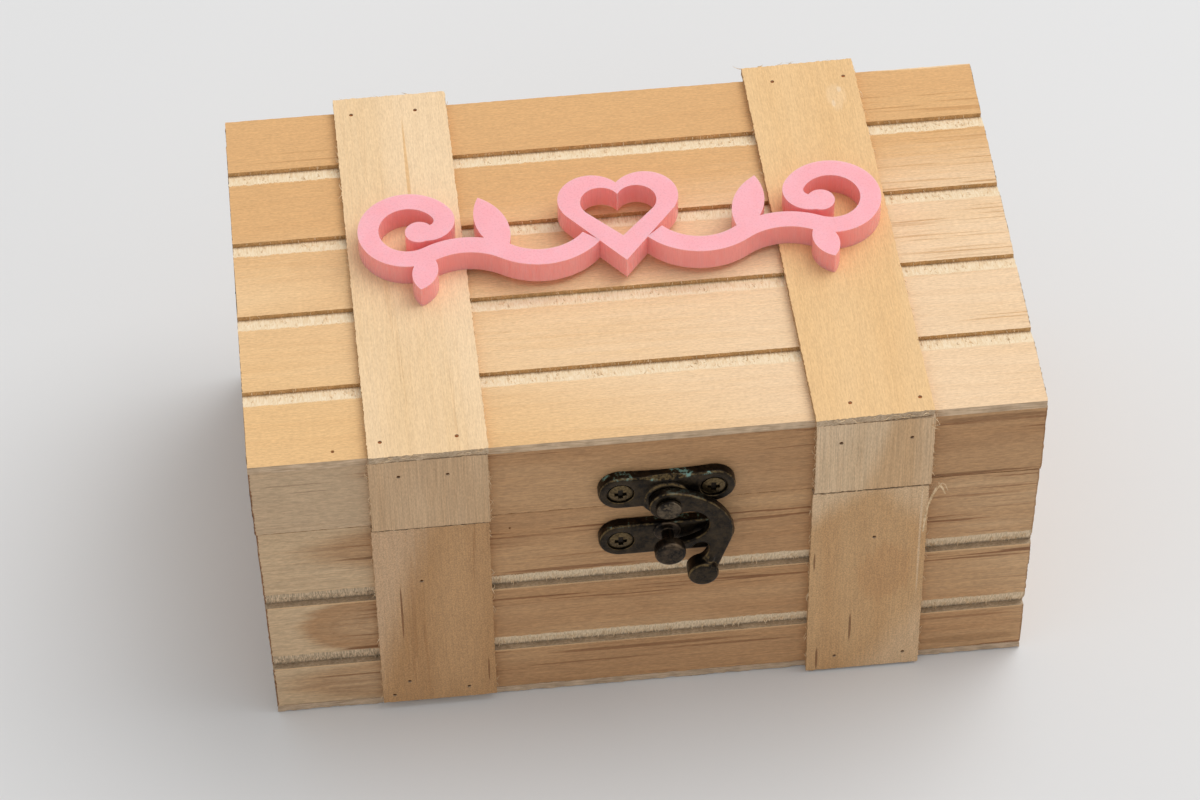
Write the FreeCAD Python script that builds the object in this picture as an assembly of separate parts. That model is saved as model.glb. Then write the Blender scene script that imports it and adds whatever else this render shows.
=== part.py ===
import FreeCAD, Part
import math
import os

os.makedirs("parts", exist_ok=True)

# Keepsake box with a hinged lid. Millimetres, X along the front, Y from front to back, Z up.
# The origin is the middle of the underside.

# Box carcass
body_width = 158.0            # at the floor
body_depth = 97.8
wall_lean = 0.75              # the end walls lean out this far on the way up to the seam
seam_height = 57.6            # top edge of the walls
wall_thickness = 5.0
base_thickness = 2.0

# Lid
lid_end_reveal = 0.25         # the lid stands past the walls at each end
lid_front_reveal = 0.3        # and past the front wall
seam_gap = 0.25
rail_height = 18.7
rail_thickness = 5.0
panel_thickness = 2.0

# Plank grooves
groove_width = 3.5
groove_depth = 1.4            # at the foot of the square side; the other side slopes up to the surface
lid_groove_depth = 1.1
wall_groove_height = 16.2     # middle of the lowest wall groove, from the floor
wall_groove_pitch = 19.9
wall_groove_count = 2
lid_groove_pitch = 20.85
lid_groove_offset = 0.6       # the lid's grooves sit a little towards the back
lid_groove_count = 4

# Straps
strap_width = 23.8
strap_thickness = 1.6
strap_inset = 34.6            # end of the box to the middle of a strap
strap_front_lap = 0.2         # a top strap's end past the strap below it
strap_back_lap = 1.2
strap_foot_gap = 0.3          # least height of a strap's foot above the floor
strap_shift_shares = {        # sideways, as shares of the strap's width
    "lid_top_strap_left": 0.0, "lid_top_strap_right": -0.025,
    "lid_front_strap_left": 0.005, "lid_front_strap_right": 0.03,
    "lid_back_strap_left": -0.012, "lid_back_strap_right": -0.06,
    "box_front_strap_left": -0.008, "box_front_strap_right": 0.017,
    "box_back_strap_left": -0.01, "box_back_strap_right": -0.05,
}
strap_skews = {"lid_top_strap_left": 0.4, "lid_top_strap_right": 1.25}   # degrees, seen from above
strap_foot_shares = {         # extra height of a strap's foot, as shares of the base's thickness
    "box_front_strap_left": 0.85, "box_front_strap_right": 0.0,
    "box_back_strap_left": 0.4, "box_back_strap_right": 0.5,
}

# Brads and nails
brad_radius = 0.45
brad_sink = 0.25
brad_cover = 1.2              # wood left beyond a brad's point
top_brad_bite = 3.4           # depth of a top strap's brad in the rail
nail_radius = 0.6
nail_sink = 0.3
nail_bite = 7.0               # depth of a nail in the second board
fastener_clearance = 0.05
top_brad_shares = {           # across the strap at its front and back ends
    "lid_top_strap_left": ((-0.39, 0.25), (-0.35, 0.22)),
    "lid_top_strap_right": ((-0.19, 0.40), (-0.25, 0.39)),
}
side_brad_shares = {          # across the strap and up the board behind it
    "lid_front_strap_left": ((-0.25, 0.86), (0.16, 0.84)),
    "lid_front_strap_right": ((-0.29, 0.80), (0.31, 0.80)),
    "lid_back_strap_left": ((-0.28, 0.82), (0.24, 0.84)),
    "lid_back_strap_right": ((-0.24, 0.85), (0.28, 0.81)),
    "box_front_strap_left": ((-0.10, 0.70), (-0.26, 0.12), (-0.40, 0.045), (0.26, 0.06)),
    "box_front_strap_right": ((0.05, 0.73), (-0.25, 0.05), (0.36, 0.04)),
    "box_back_strap_left": ((0.04, 0.68), (-0.30, 0.07), (0.27, 0.06)),
    "box_back_strap_right": ((-0.06, 0.70), (-0.28, 0.06), (0.31, 0.07)),
}
wall_nail_shares = (0.12, 0.46, 0.83)      # up the wall
rail_nail_shares = (0.26, 0.80)            # up the rail
base_nail_shares = (-0.80, -0.20, 0.22, 0.78)    # along half the base
base_end_nail_shares = (-0.45, 0.45)
panel_nail_shares = (-0.785, 0.04, 0.86)   # along half the lid
panel_end_nail_shares = (-0.40, 0.40)

# Screws of the latch and hinges
screw_radius = 0.9
screw_head_radius = 2.3
screw_head_height = 0.8
screw_seat_depth = 0.8        # dished seat in a latch plate
screw_seat_margin = 0.45
screw_cover = 0.8             # wood left beyond a screw's point
hinge_screw_head_radius = 1.75
cross_width = 1.0
cross_reach_share = 0.54      # of the head's radius
cross_depth_share = 0.7       # of the head's height
dome_share = 0.45             # domed part of a latch screw's head

# Latch plates
latch_place = 3.2             # right of the middle of the box
pivot_rise = 4.0              # rivet above the seam
post_fall = 6.3               # catch post below the seam
plate_thickness = 2.4
plate_lobe_radius = 4.5
plate_screw_spacing = 18.8
hook_screw_offset = 2.2       # the hook plate's screws above the rivet
catch_screw_offset = 2.3      # the catch plate's screws below the post
plate_waist = 0.4             # the hook plate's upper edge dips this far
plate_edge_round = 0.7
scoop_radius = 20.0           # hollow rubbed into the hook plate's upper front edge
scoop_depth = 0.75            # measured square to the edge's slope
boss_radius = 5.4
boss_top_radius = 4.9
boss_height = 0.5

# Rivet and catch post
rivet_radius = 1.4
rivet_head_radius = 2.55
rivet_head_height = 1.0
rivet_edge_round = 0.35
pivot_clearance = 0.06
hook_side_clearance = 0.15    # between the hook and what it turns against
post_foot_radius = 2.9
post_base_radius = 2.5
post_neck_radius = 1.3
post_head_radius = 3.2
post_head_length = 3.2
post_head_flare = 0.7
post_edge_round = 0.8
post_base_gap = 0.4           # the post's base stands this far behind the hook
post_head_gap = 0.9           # and its head this far in front

# Hook
hook_thickness = 1.9
hook_eye_radius = 3.9
eye_top_angle = 80.0          # where the eye runs into the shoulder, in degrees
hook_tip_width = 2.3
hook_tip_gap = 0.4            # beside the post's neck when the latch is at rest
hook_neck_gap = 0.2           # below the post's neck when the latch is locked
hook_reach = 13.25            # rivet to the outside of the bow
hook_drop = 20.3              # rivet to the middle of the thumb knob
knob_radius = 3.2
knob_height = 1.7             # the thumb knob stands out of the hook
knob_round = 0.8
swell_start_radius = 0.4      # the tail swells out towards the knob
swell_end_radius = 1.5
hook_edge_round = 0.55
bow_shares = (0.302, 0.315)   # middle of the bow, along the reach and down the drop
shoulder_shares = ((0.640, 0.020), (0.940, -0.240), (1.0, -0.440), (0.950, -0.625))
tail_left_shares = ((0.620, -0.655), (0.600, -0.749))
knob_share = 0.53             # middle of the knob along the reach
tail_end_share = 0.92         # the tail's end inside the knob
tail_end_angles = (-18.0, -125.0, 128.0)
crotch_shares = (0.565, -0.602)
branch_share = 0.667          # where the tip leaves the bow, from straight down to the bow's middle

# Hinges
hinge_width = 18.0
leaf_height = 9.0
leaf_thickness = 0.8
leaf_corner = 1.6
knuckle_radius = 1.7
knuckle_gap = 0.3             # between a knuckle and what it turns past
knuckle_side_gap = 0.16
knuckle_count = 5
pin_radius = 0.75
pin_clearance = 0.05
hinge_screw_shares = ((-0.28, 0.62), (0.28, 0.62))   # along and up a leaf

# Acrylic ornament
ornament_thickness = 5.0
ornament_place = 2.7          # behind the middle of the box
ornament_overhang = 9.9       # past the middle of each strap
stroke_width = 4.3
heart_lobe_radius = 7.0
heart_lobe_spacing = 11.0
heart_depth = 18.0
heart_rise = 8.0              # middle of the lobes behind the ornament's middle
window_lobe_radius = 4.2      # opening in the heart
window_lobe_spacing = 7.4
window_depth = 10.0
window_drop = 1.0             # the opening's lobes in front of the heart's lobes
scroll_start_shares = (0.362, -0.136)      # beside the heart's middle, in its depth
scroll_heading = -50.0
scroll_arcs_shares = ((0.276, 85.0), (0.314, -63.0), (0.172, 268.0), (0.075, 150.0))   # of the span
scroll_ball_radius = 2.9
leaf_shares = ((0, 74.0, 0.347, 0.136), (1, -76.0, 0.210, 0.109))   # after arc, heading, length, width

overrun = 1.0                 # cutting tools run this far past the work

front_y = -body_depth / 2
back_y = body_depth / 2
half_width = body_width / 2
lid_half = half_width + wall_lean + lid_end_reveal
lid_front_y = front_y - lid_front_reveal
lid_base_z = seam_height + seam_gap
panel_z = lid_base_z + rail_height
lid_top_z = panel_z + panel_thickness
wall_height = seam_height - base_thickness
strap_top_z = lid_top_z + strap_thickness
strap_place = half_width - strap_inset
ornament_half = strap_place + ornament_overhang

pivot_z = seam_height + pivot_rise
post_z = seam_height - post_fall
latch_drop = pivot_z - post_z
hook_back_y = lid_front_y - plate_thickness - boss_height - hook_side_clearance
hook_front_y = hook_back_y - hook_thickness

leaf_face_y = back_y + strap_thickness
hinge_y = leaf_face_y + knuckle_radius + knuckle_gap
hinge_z = seam_height + seam_gap / 2

vector = FreeCAD.Vector
forward = vector(0, -1, 0)
backward = vector(0, 1, 0)
upward = vector(0, 0, 1)
downward = vector(0, 0, -1)
rightward = vector(1, 0, 0)


def block(low, high):
    size = [b - a for a, b in zip(low, high)]
    return Part.makeBox(size[0], size[1], size[2], vector(*low))


def save(name, shape):
    shape.exportStep("parts/" + name + ".step")


def group(solids):
    return Part.makeCompound(list(solids))


def drill(piece, holes):
    reaching = [hole for hole in holes if hole.BoundBox.intersect(piece.BoundBox)]
    return piece.cut(reaching) if reaching else piece


def arc(start, middle, end):
    return Part.Arc(start, middle, end).toShape()


def line(start, end):
    return Part.LineSegment(start, end).toShape()


# Fasteners: each is made with the hole that it fills

def pin_in_wood(point, direction, radius, sink, length):
    solid = Part.makeCylinder(radius, length - sink, point + direction * sink, direction)
    bore = Part.makeCylinder(radius + fastener_clearance, length + fastener_clearance + overrun,
                             point - direction * overrun, direction)
    return solid, bore


def cross_recess(point, direction, head_radius, head_height):
    reach = head_radius * cross_reach_share
    depth = head_height * cross_depth_share
    slot = Part.makeBox(2 * reach, cross_width, depth + overrun, vector(-reach, -cross_width / 2, -overrun))
    bar = Part.makeBox(cross_width, 2 * reach, depth + overrun, vector(-cross_width / 2, -reach, -overrun))
    cross = slot.fuse(bar)
    cross.Placement = FreeCAD.Placement(point, FreeCAD.Rotation(upward, direction))
    return cross


def turned(profile, point, direction):
    # A solid of revolution from (radius, depth) edges, its depth along the direction
    face = Part.Face(Part.Wire(profile))
    solid = face.revolve(vector(0, 0, 0), upward, 360)
    solid.Placement = FreeCAD.Placement(point, FreeCAD.Rotation(upward, direction))
    return solid


def at(radius, depth):
    return vector(radius, 0, depth)


def plate_screw(seat, direction, length):
    # Raised-head screw, its head standing on the seat
    dome = screw_head_height * dome_share
    rim = screw_head_height - dome
    dome_radius = (screw_head_radius ** 2 + dome ** 2) / (2 * dome)
    lean = math.asin(screw_head_radius / dome_radius) / 2
    crown = at(dome_radius * math.sin(lean), dome_radius * (1 - math.cos(lean)) - screw_head_height)
    profile = [
        line(at(0, length), at(screw_radius, length - screw_radius)),
        line(at(screw_radius, length - screw_radius), at(screw_radius, 0)),
        line(at(screw_radius, 0), at(screw_head_radius, 0)),
        line(at(screw_head_radius, 0), at(screw_head_radius, -rim)),
        arc(at(screw_head_radius, -rim), crown, at(0, -screw_head_height)),
        line(at(0, -screw_head_height), at(0, length)),
    ]
    top = seat - direction * screw_head_height
    solid = turned(profile, seat, direction)
    solid = solid.cut(cross_recess(top, direction, screw_head_radius, screw_head_height))
    bore = Part.makeCylinder(screw_radius + fastener_clearance, length + fastener_clearance, seat, direction)
    return solid, bore


def flush_screw(face, direction, length):
    # Countersunk screw, its head level with the hinge leaf
    profile = [
        line(at(0, 0), at(hinge_screw_head_radius, 0)),
        line(at(hinge_screw_head_radius, 0), at(screw_radius, leaf_thickness)),
        line(at(screw_radius, leaf_thickness), at(screw_radius, length - screw_radius)),
        line(at(screw_radius, length - screw_radius), at(0, length)),
        line(at(0, length), at(0, 0)),
    ]
    solid = turned(profile, face, direction)
    solid = solid.cut(cross_recess(face, direction, hinge_screw_head_radius, leaf_thickness))
    bore = Part.makeCylinder(screw_radius + fastener_clearance, length + fastener_clearance, face, direction)
    return solid, bore


def countersink(face, direction):
    wide = hinge_screw_head_radius + fastener_clearance
    narrow = screw_radius + fastener_clearance
    cone = Part.makeCone(wide, narrow, leaf_thickness, face, direction)
    return cone.fuse(Part.makeCylinder(narrow, 2 * leaf_thickness, face, direction))


# Straps

def strap_middle(name):
    side = -1 if name.endswith("left") else 1
    return side * strap_place + strap_shift_shares[name] * strap_width


def top_strap(name):
    middle = strap_middle(name)
    front = lid_front_y - strap_thickness - strap_front_lap
    back = back_y + strap_thickness + strap_back_lap
    half = strap_width / 2
    strap = block((middle - half, front, lid_top_z), (middle + half, back, strap_top_z))
    strap.rotate(vector(middle, (front + back) / 2, 0), upward, strap_skews[name])
    pairs = []
    rail_lines = (lid_front_y + rail_thickness / 2, back_y - rail_thickness / 2)
    for y, shares in zip(rail_lines, top_brad_shares[name]):
        drift = -math.tan(math.radians(strap_skews[name])) * (y - (front + back) / 2)
        for share in shares:
            point = vector(middle + drift + share * strap_width, y, strap_top_z)
            length = strap_thickness + panel_thickness + top_brad_bite
            pairs.append(pin_in_wood(point, downward, brad_radius, brad_sink, length))
    return strap, pairs


def side_strap(name):
    on_lid = name.startswith("lid")
    at_front = "front" in name
    middle = strap_middle(name)
    foot = 0 if on_lid else strap_foot_gap + strap_foot_shares[name] * base_thickness
    low = lid_base_z if on_lid else foot
    high = lid_top_z if on_lid else seam_height
    board_low = lid_base_z if on_lid else base_thickness
    board_height = rail_height if on_lid else wall_height
    board = rail_thickness if on_lid else wall_thickness
    if at_front:
        board_face = lid_front_y if on_lid else front_y
        outward = forward
    else:
        board_face = back_y
        outward = backward
    outer_face = board_face + outward.y * strap_thickness
    ys = sorted((board_face, outer_face))
    strap = block((middle - strap_width / 2, ys[0], low), (middle + strap_width / 2, ys[1], high))
    length = strap_thickness + board - brad_cover
    pairs = []
    for across, up in side_brad_shares[name]:
        point = vector(middle + across * strap_width, outer_face, board_low + up * board_height)
        pairs.append(pin_in_wood(point, outward * -1, brad_radius, brad_sink, length))
    return strap, pairs


# Nails that hold the boards together

def corner_nails(half, thickness, faces, heights):
    pairs = []
    for face_y, inward in faces:
        for x in (-half + thickness / 2, half - thickness / 2):
            for z in heights:
                pairs.append(pin_in_wood(vector(x, face_y, z), inward, nail_radius, nail_sink,
                                         thickness + nail_bite))
    return pairs


def rim_nails(z, direction, sheet, half, ys, board, along, ends):
    # Nails through a sheet into the boards that stand along its rim
    length = sheet + nail_bite
    low_y, high_y = ys
    points = [vector(share * half, y, z) for share in along for y in (low_y + board / 2, high_y - board / 2)]
    middle_y = (low_y + high_y) / 2
    points += [vector(x, middle_y + share * (high_y - low_y) / 2, z)
               for share in ends for x in (-half + board / 2, half - board / 2)]
    return [pin_in_wood(point, direction, nail_radius, nail_sink, length) for point in points]


# Boards

def groove_heights():
    return [wall_groove_height + index * wall_groove_pitch for index in range(wall_groove_count)]


def groove_cutter(middle, inward, square, along, length, depth):
    # A square side, and a slope from its foot up to the surface
    half = groove_width / 2
    corners = [
        middle - square * half - inward * overrun,
        middle - square * half,
        middle + square * half + inward * depth,
        middle + square * half - inward * overrun,
    ]
    face = Part.Face(Part.makePolygon(corners + corners[:1]))
    return face.translated(along * -overrun).extrude(along * (length + 2 * overrun))


def end_x(z):
    # Outside of the leaning end walls at a height
    return half_width + wall_lean * (z - base_thickness) / wall_height


def long_wall(outward):
    outer_y = back_y * outward.y
    rim = ((base_thickness, -1), (base_thickness, 1), (seam_height, 1), (seam_height, -1))
    corners = [vector(side * end_x(z), outer_y, z) for z, side in rim]
    board = Part.Face(Part.makePolygon(corners + corners[:1])).extrude(outward * -wall_thickness)
    for z in groove_heights():
        middle = vector(-lid_half, outer_y, z)
        board = board.cut(groove_cutter(middle, outward * -1, downward, rightward, 2 * lid_half,
                                        groove_depth))
    return board


def end_wall(side):
    inner_y = back_y - wall_thickness
    outward = rightward * side
    rim = ((base_thickness, 0), (base_thickness, wall_thickness),
           (seam_height, wall_thickness), (seam_height, 0))
    corners = [vector(side * (end_x(z) - inset), -inner_y, z) for z, inset in rim]
    board = Part.Face(Part.makePolygon(corners + corners[:1])).extrude(backward * 2 * inner_y)
    for z in groove_heights():
        middle = vector(side * end_x(z), -inner_y, z)
        board = board.cut(groove_cutter(middle, outward * -1, downward, backward, 2 * inner_y, groove_depth))
    return board


def make_walls():
    return {
        "front_wall": long_wall(forward),
        "back_wall": long_wall(backward),
        "left_wall": end_wall(-1),
        "right_wall": end_wall(1),
        "base_panel": block((-half_width, front_y, 0), (half_width, back_y, base_thickness)),
    }


def make_lid_boards():
    inner_x = lid_half - rail_thickness
    inner_front = lid_front_y + rail_thickness
    inner_back = back_y - rail_thickness
    panel = block((-lid_half, lid_front_y, panel_z), (lid_half, back_y, lid_top_z))
    first = (lid_front_y + back_y) / 2 + lid_groove_offset - (lid_groove_count - 1) * lid_groove_pitch / 2
    for index in range(lid_groove_count):
        middle = vector(-lid_half, first + index * lid_groove_pitch, lid_top_z)
        panel = panel.cut(groove_cutter(middle, downward, backward, rightward, 2 * lid_half,
                                        lid_groove_depth))
    return {
        "lid_panel": panel,
        "lid_front_rail": block((-lid_half, lid_front_y, lid_base_z), (lid_half, inner_front, panel_z)),
        "lid_back_rail": block((-lid_half, inner_back, lid_base_z), (lid_half, back_y, panel_z)),
        "lid_left_rail": block((-lid_half, inner_front, lid_base_z), (-inner_x, inner_back, panel_z)),
        "lid_right_rail": block((inner_x, inner_front, lid_base_z), (lid_half, inner_back, panel_z)),
    }


# Latch, drawn in the plane of the front: x across, z up, from the rivet or the middle of a plate

def front_point(x, z, y):
    return vector(latch_place + x, y, z)


def round_front_edges(solid, face_y, radius):
    near = radius / 8
    edges = [edge for edge in solid.Edges
             if abs(edge.BoundBox.YMin - face_y) < near and abs(edge.BoundBox.YMax - face_y) < near]
    return solid.makeFillet(radius, edges)


def plate_outline(screw_z, waist, boss_z, y):
    # Two round lobes; the upper edge dips at a waist, and the lower edge swells round a boss
    half = plate_screw_spacing / 2
    lobe = plate_lobe_radius
    top = screw_z + lobe
    bottom = screw_z - lobe

    def p(x, z):
        return front_point(x, z, y)

    if waist:
        # one wide arc, tangent to both lobes
        centres = (half ** 2 + waist ** 2) / (2 * waist)
        shoulder_x = half - half * lobe / centres
        shoulder_z = screw_z + (centres - waist) * lobe / centres
        upper = arc(p(-shoulder_x, shoulder_z), p(0, top - waist), p(shoulder_x, shoulder_z))
    else:
        shoulder_x = half
        shoulder_z = top
        upper = line(p(-half, top), p(half, top))
    edges = [
        arc(p(-half, bottom), p(-half - lobe, screw_z), p(-shoulder_x, shoulder_z)),
        upper,
        arc(p(shoulder_x, shoulder_z), p(half + lobe, screw_z), p(half, bottom)),
    ]
    if boss_z is None:
        edges.append(line(p(half, bottom), p(-half, bottom)))
    else:
        reach = math.sqrt(boss_radius ** 2 - (boss_z - bottom) ** 2)
        edges.append(line(p(half, bottom), p(reach, bottom)))
        edges.append(arc(p(reach, bottom), p(0, boss_z - boss_radius), p(-reach, bottom)))
        edges.append(line(p(-reach, bottom), p(-half, bottom)))
    return Part.Face(Part.Wire(edges))


def plate_screw_seats(plate, face_y, screw_z):
    # Dished seats and clearance holes for the two screws, with the screws themselves
    seat_radius = screw_head_radius + screw_seat_margin
    length = plate_thickness - screw_seat_depth + wall_thickness - screw_cover
    pairs = []
    for x in (-plate_screw_spacing / 2, plate_screw_spacing / 2):
        seat = front_point(x, screw_z, face_y - plate_thickness + screw_seat_depth)
        dish = Part.makeCylinder(seat_radius, plate_thickness, seat, forward)
        hole = Part.makeCylinder(screw_radius + fastener_clearance, 2 * plate_thickness, seat, backward)
        plate = plate.cut([dish, hole])
        pairs.append(plate_screw(seat, backward, length))
    return plate, pairs


def edge_scoop(edge_z, edge_y):
    # A round bar laid across the upper front edge at half a right angle
    outward = vector(0, -1, 1).normalize()
    across = vector(0, -1, -1).normalize()
    middle = front_point(0, edge_z, edge_y) + outward * (scoop_radius - scoop_depth)
    return Part.makeCylinder(scoop_radius, 2 * plate_thickness, middle - across * plate_thickness, across)


def make_hook_plate():
    screw_z = pivot_z + hook_screw_offset
    outer_y = lid_front_y - plate_thickness
    outline = plate_outline(screw_z, plate_waist, pivot_z, lid_front_y)
    plate = round_front_edges(outline.extrude(forward * plate_thickness), outer_y, plate_edge_round)
    boss = Part.makeCone(boss_radius - plate_edge_round, boss_top_radius - plate_edge_round, boss_height,
                         front_point(0, pivot_z, outer_y), forward)
    plate = plate.fuse(boss).removeSplitter()
    plate = plate.cut(edge_scoop(screw_z + plate_lobe_radius - plate_waist, outer_y))
    bore = Part.makeCylinder(rivet_radius + pivot_clearance, 2 * (plate_thickness + boss_height),
                             front_point(0, pivot_z, lid_front_y + overrun), forward)
    return plate_screw_seats(plate.cut(bore), lid_front_y, screw_z)


def make_catch_plate():
    screw_z = post_z - catch_screw_offset
    outer_y = front_y - plate_thickness
    outline = plate_outline(screw_z, 0, None, front_y)
    plate = round_front_edges(outline.extrude(forward * plate_thickness), outer_y, plate_edge_round)
    bore = Part.makeCylinder(post_neck_radius + fastener_clearance, plate_thickness + 2 * overrun,
                             front_point(0, post_z, front_y + overrun), forward)
    return plate_screw_seats(plate.cut(bore), front_y, screw_z)


def make_rivet():
    head_y = hook_front_y - hook_side_clearance
    shank = lid_front_y - head_y
    head = rivet_head_height
    corner = rivet_edge_round
    slope = math.sqrt(0.5)
    profile = [
        line(at(0, 0), at(rivet_radius, 0)),
        line(at(rivet_radius, 0), at(rivet_radius, shank)),
        line(at(rivet_radius, shank), at(rivet_head_radius, shank)),
        line(at(rivet_head_radius, shank), at(rivet_head_radius, shank + head - corner)),
        arc(at(rivet_head_radius, shank + head - corner),
            at(rivet_head_radius - corner * (1 - slope), shank + head - corner * (1 - slope)),
            at(rivet_head_radius - corner, shank + head)),
        line(at(rivet_head_radius - corner, shank + head), at(0, shank + head)),
        line(at(0, shank + head), at(0, 0)),
    ]
    return turned(profile, front_point(0, pivot_z, lid_front_y), forward)


def make_post():
    # Riveted through the plate, with a tapered base, a neck for the hook and a bell-shaped head
    foot = plate_thickness
    base = front_y - hook_back_y - post_base_gap
    neck = front_y - hook_front_y + post_head_gap
    front = neck + post_head_length
    corner = post_edge_round
    slope = math.sqrt(0.5)
    profile = [
        line(at(0, 0), at(post_neck_radius, 0)),
        line(at(post_neck_radius, 0), at(post_neck_radius, foot)),
        line(at(post_neck_radius, foot), at(post_foot_radius, foot)),
        line(at(post_foot_radius, foot), at(post_base_radius, base)),
        line(at(post_base_radius, base), at(post_neck_radius, base)),
        line(at(post_neck_radius, base), at(post_neck_radius, neck)),
        line(at(post_neck_radius, neck), at(post_head_radius, neck + post_head_flare)),
        line(at(post_head_radius, neck + post_head_flare), at(post_head_radius, front - corner)),
        arc(at(post_head_radius, front - corner),
            at(post_head_radius - corner * (1 - slope), front - corner * (1 - slope)),
            at(post_head_radius - corner, front)),
        line(at(post_head_radius - corner, front), at(0, front)),
        line(at(0, front), at(0, 0)),
    ]
    return turned(profile, front_point(0, post_z, front_y), forward)


def circle_point(centre, radius, angle):
    turn = math.radians(angle)
    return (centre[0] + radius * math.cos(turn), centre[1] + radius * math.sin(turn))


def tail_swell(start, knob):
    # A round ridge that leaves the hook's front half way down and runs into the knob
    first = front_point(start[0], pivot_z + start[1], hook_front_y + hook_thickness / 2)
    last = front_point(knob[0], pivot_z + knob[1], hook_front_y)
    return Part.makeCone(swell_start_radius, swell_end_radius, (last - first).Length, first, last - first)


def make_hook():
    # The tip runs round the rivet at a radius that just passes below the post's neck,
    # and the bow's inside flows into the tip without a corner
    tip_inner = latch_drop + post_neck_radius + hook_neck_gap
    tip_outer = tip_inner + hook_tip_width
    tip_middle = (tip_inner + tip_outer) / 2
    tip_x = post_neck_radius + hook_tip_gap + hook_tip_width / 2
    tip_angle = -90 + math.degrees(math.asin(tip_x / tip_middle))

    bow = (bow_shares[0] * hook_reach, -bow_shares[1] * hook_drop)
    bow_distance = math.hypot(bow[0], bow[1])
    bow_angle = math.degrees(math.atan2(bow[1], bow[0]))
    bow_radius = tip_inner - bow_distance
    # where the bow's inside meets the eye, below the rivet
    along = (hook_eye_radius ** 2 - bow_radius ** 2 + bow_distance ** 2) / (2 * bow_distance)
    spread = math.degrees(math.acos(along / hook_eye_radius))
    eye_angle = bow_angle - spread
    notch = circle_point((0, 0), hook_eye_radius, eye_angle)
    notch_angle = math.degrees(math.atan2(notch[1] - bow[1], notch[0] - bow[0]))

    def share_point(shares):
        return (shares[0] * hook_reach, shares[1] * hook_drop)

    def p(pair):
        return front_point(pair[0], pivot_z + pair[1], hook_back_y)

    centre = (0, 0)
    knob = (knob_share * hook_reach, -hook_drop)
    eye_top = circle_point(centre, hook_eye_radius, eye_top_angle)
    shoulder = [share_point(pair) for pair in shoulder_shares]
    tail_left = [share_point(pair) for pair in tail_left_shares]
    tail_end = tail_end_share * knob_radius
    tail_ends = [circle_point(knob, tail_end, angle) for angle in tail_end_angles]
    crotch = share_point(crotch_shares)
    branch_angle = -90 + (bow_angle + 90) * branch_share
    branch = circle_point(centre, tip_outer, branch_angle)
    tip_end_outer = circle_point(centre, tip_outer, tip_angle)
    tip_end_inner = circle_point(centre, tip_inner, tip_angle)
    tip_centre = circle_point(centre, tip_middle, tip_angle)
    tip_nose = circle_point(tip_centre, hook_tip_width / 2, tip_angle - 90)
    bow_start = circle_point(centre, tip_inner, bow_angle)

    edges = [
        arc(p(notch), p((-hook_eye_radius, 0)), p(eye_top)),
        arc(p(eye_top), p(shoulder[0]), p(shoulder[1])),
        arc(p(shoulder[1]), p(shoulder[2]), p(shoulder[3])),
        line(p(shoulder[3]), p(tail_ends[0])),
        arc(p(tail_ends[0]), p(tail_ends[1]), p(tail_ends[2])),
        arc(p(tail_ends[2]), p(tail_left[1]), p(tail_left[0])),
        arc(p(tail_left[0]), p(crotch), p(branch)),
        arc(p(branch), p(circle_point(centre, tip_outer, (branch_angle + tip_angle) / 2)), p(tip_end_outer)),
        arc(p(tip_end_outer), p(tip_nose), p(tip_end_inner)),
        arc(p(tip_end_inner), p(circle_point(centre, tip_inner, (tip_angle + bow_angle) / 2)), p(bow_start)),
        arc(p(bow_start), p(circle_point(bow, bow_radius, (bow_angle + notch_angle) / 2)), p(notch)),
    ]
    plate = Part.Face(Part.Wire(edges)).extrude(forward * hook_thickness)
    plate = round_front_edges(plate, hook_front_y, hook_edge_round)
    tail_top = ((shoulder[-1][0] + tail_left[0][0]) / 2, (shoulder[-1][1] + tail_left[0][1]) / 2)
    swell = tail_swell(tail_top, knob)
    grip = Part.makeCylinder(knob_radius, hook_thickness + knob_height, p(knob), forward)
    grip = round_front_edges(grip, hook_front_y - knob_height, knob_round)
    bore = Part.makeCylinder(rivet_radius + pivot_clearance, hook_thickness + 2 * overrun,
                             p(centre) - forward * overrun, forward)
    return plate.fuse([swell, grip]).removeSplitter().cut(bore)


# Hinges

def knuckle_spans(on_lid):
    pitch = hinge_width / knuckle_count
    for index in range(knuckle_count):
        if (index % 2 == 1) == on_lid:
            start = -hinge_width / 2 + index * pitch
            yield start, start + pitch


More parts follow.
